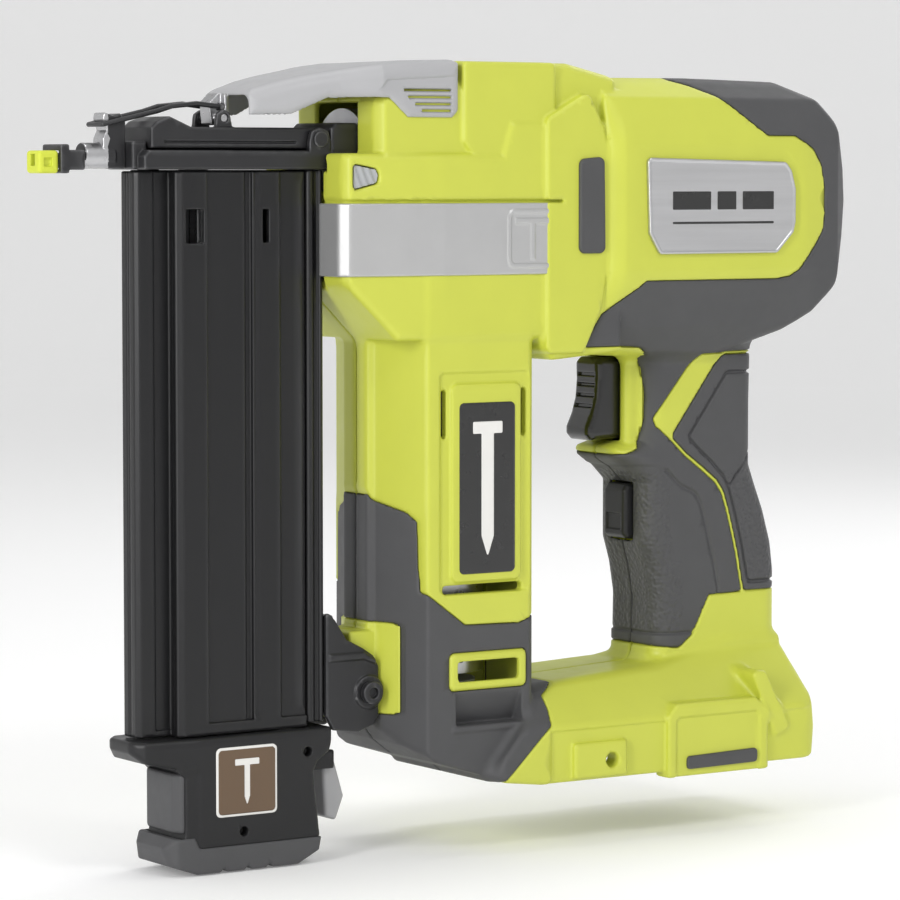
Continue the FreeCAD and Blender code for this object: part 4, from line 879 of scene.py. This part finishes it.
def contact_arm(x, y, z):
    ring = np.maximum(brick(x, y, z, -163, -159.5, -6.4, 8, 250.8, 261, 0.7),
                      -brick(x, y, z, -170, -150, -4.3, 4.3, 252.2, 258.8))
    cheek = brick(x, y, z, -163, -153.5, -6.4, -5, 252, 259, 0.5)
    strip = np.minimum(brick(x, y, z, -163, -144, 6.6, 8, 252.5, 258, 0.4),
                       brick(x, y, z, -147, -144, 6.6, 16, 252.5, 258, 0.4))
    strip = np.minimum(strip, brick(x, y, z, -147, -112, 14.4, 16, 252.5, 258, 0.4))
    strip = np.minimum(strip, brick(x, y, z, -116, -112, 14.4, 24.5, 244.5, 258, 0.8))
    centre = np.hypot(y - CONTACT_Y, z - CONTACT_Z)
    rod_x = np.minimum(meet(centre - 2.0, slab(x, -114, -50), 0.3),
                       meet(centre - 4.0, slab(x, -57, -54.5), 0.3))
    rod_x = np.minimum(rod_x, meet(centre - 3.2, slab(x, -100, -98), 0.3))
    return np.minimum(np.minimum(ring, cheek), join(strip, rod_x, 0.6))


carve("contact_arm", contact_arm, (-163, -7.5, 242), (-50, 26, 262), 0.42, black_steel, "contact_arm",
      ["contact_arm"])


def no_mar_tip(x, y, z):
    shape = brick(x, y, z, -171, -163, -5, 5, 250.8, 258.8, 1.3)
    shape = less(shape, brick(x, y, z, -175, -160, -1.6, 1.6, BORE_Z - 2, BORE_Z + 2), 0.3)
    return less(shape, brick(x, y, z, -168.8, -165.8, -7, -3.8, 253.2, 256.2, 0.3), 0.3)


carve("no_mar_tip", no_mar_tip, (-171, -5, 250.8), (-163, 5, 258.8), 0.28, tip_lime, "contact_arm",
      ["no_mar_tip"])

# ---- finishes of the CAD pieces that stay ----
FINISHES = {
    black_steel: ["latch_wire", "depth_wheel"],
    steel: ["driver_blade", "connecting_rod", "motor_rotor", "sun_gear", "planet_gear_1", "planet_gear_2",
            "planet_gear_3", "planet_carrier", "crank_disc", "valve_spool", "trigger_spring", "contact_spring",
            "pusher_spring", "nail_pusher", "shaft_bearings", "housing_screws", "motor_can"],
    cast: ["drive_cylinder", "compression_cylinder", "cylinder_head", "drive_piston", "compression_piston",
           "gearbox_case"],
    grey: ["bumper"],
    pale: ["cooling_fan"],
    black: ["switches"],
    copper: ["valve_solenoid"],
    brass: ["battery_terminals"],
    board: ["circuit_board"],
}
for material, names in FINISHES.items():
    for name in names:
        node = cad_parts[name]
        node.data.materials.clear()
        node.data.materials.append(material)

# ---- studio ----
EYE = Vector((-0.8175, -1.2408, 0.2520))
LOOK = Vector((0.5505, 0.8318, -0.0702))
camera_data = bpy.data.cameras.new("camera")
camera_data.lens = 159.2
camera_data.sensor_width = 36
camera_data.clip_end = 20
camera = bpy.data.objects.new("camera", camera_data)
camera.location = EYE
camera.rotation_euler = LOOK.to_track_quat("-Z", "Y").to_euler()
bpy.context.scene.collection.objects.link(camera)
bpy.context.scene.camera = camera
bpy.context.scene.view_settings.view_transform = "Standard"


def bowl(reach, rise, bend):
    """A pale round floor that curves up into a wall all round."""
    profile = [(0.0, 0.0), (reach - 0.05, 0.0), (reach, 0.0)]
    profile += [(reach + bend * math.sin(math.radians(a)), bend * (1 - math.cos(math.radians(a))))
                for a in range(10, 91, 10)]
    profile += [(reach + bend, rise)]
    turns = 96
    points = []
    for radius, height in profile[1:]:
        points += [(radius * math.cos(2 * math.pi * k / turns), radius * math.sin(2 * math.pi * k / turns),
                    height - 0.0005) for k in range(turns)]
    faces = [tuple(range(turns))]
    for ring in range(len(profile) - 2):
        for k in range(turns):
            a, b = ring * turns + k, ring * turns + (k + 1) % turns
            faces.append((b, a, a + turns, b + turns))
    mesh = bpy.data.meshes.new("floor")
    mesh.from_pydata(points, [], faces)
    mesh.shade_smooth()
    return bpy.data.objects.new("floor", mesh)


floor = bowl(3.2, 2.6, 1.2)
floor.data.materials.append(surface("pale_floor", (0.88, 0.88, 0.88), 0.8, spread=0.01, depth=0.01, patch=300,
                                    glow=0.16))
bpy.context.scene.collection.objects.link(floor)

world = bpy.data.worlds.new("studio")
world.use_nodes = True
world.node_tree.nodes["Background"].inputs["Color"].default_value = (1, 1, 1, 1)
world.node_tree.nodes["Background"].inputs["Strength"].default_value = 0.5
bpy.context.scene.world = world


def soft_light(name, place, aim, size, power):
    data = bpy.data.lights.new(name, "AREA")
    data.shape = "RECTANGLE"
    data.size, data.size_y = size
    data.energy = power
    light = bpy.data.objects.new(name, data)
    light.location = place
    light.rotation_euler = (Vector(aim) - Vector(place)).to_track_quat("-Z", "Y").to_euler()
    bpy.context.scene.collection.objects.link(light)


MIDDLE = (0, 0, 0.15)
soft_light("key", (0.1, -1.4, 1.5), MIDDLE, (0.6, 0.4), 6.5)
soft_light("front", (-1.7, -0.75, 0.7), MIDDLE, (0.35, 1.0), 16)
soft_light("back", (1.3, 0.5, 1.0), MIDDLE, (0.8, 0.8), 5)
soft_light("top", (0.0, 0.1, 1.7), MIDDLE, (0.8, 0.5), 5)
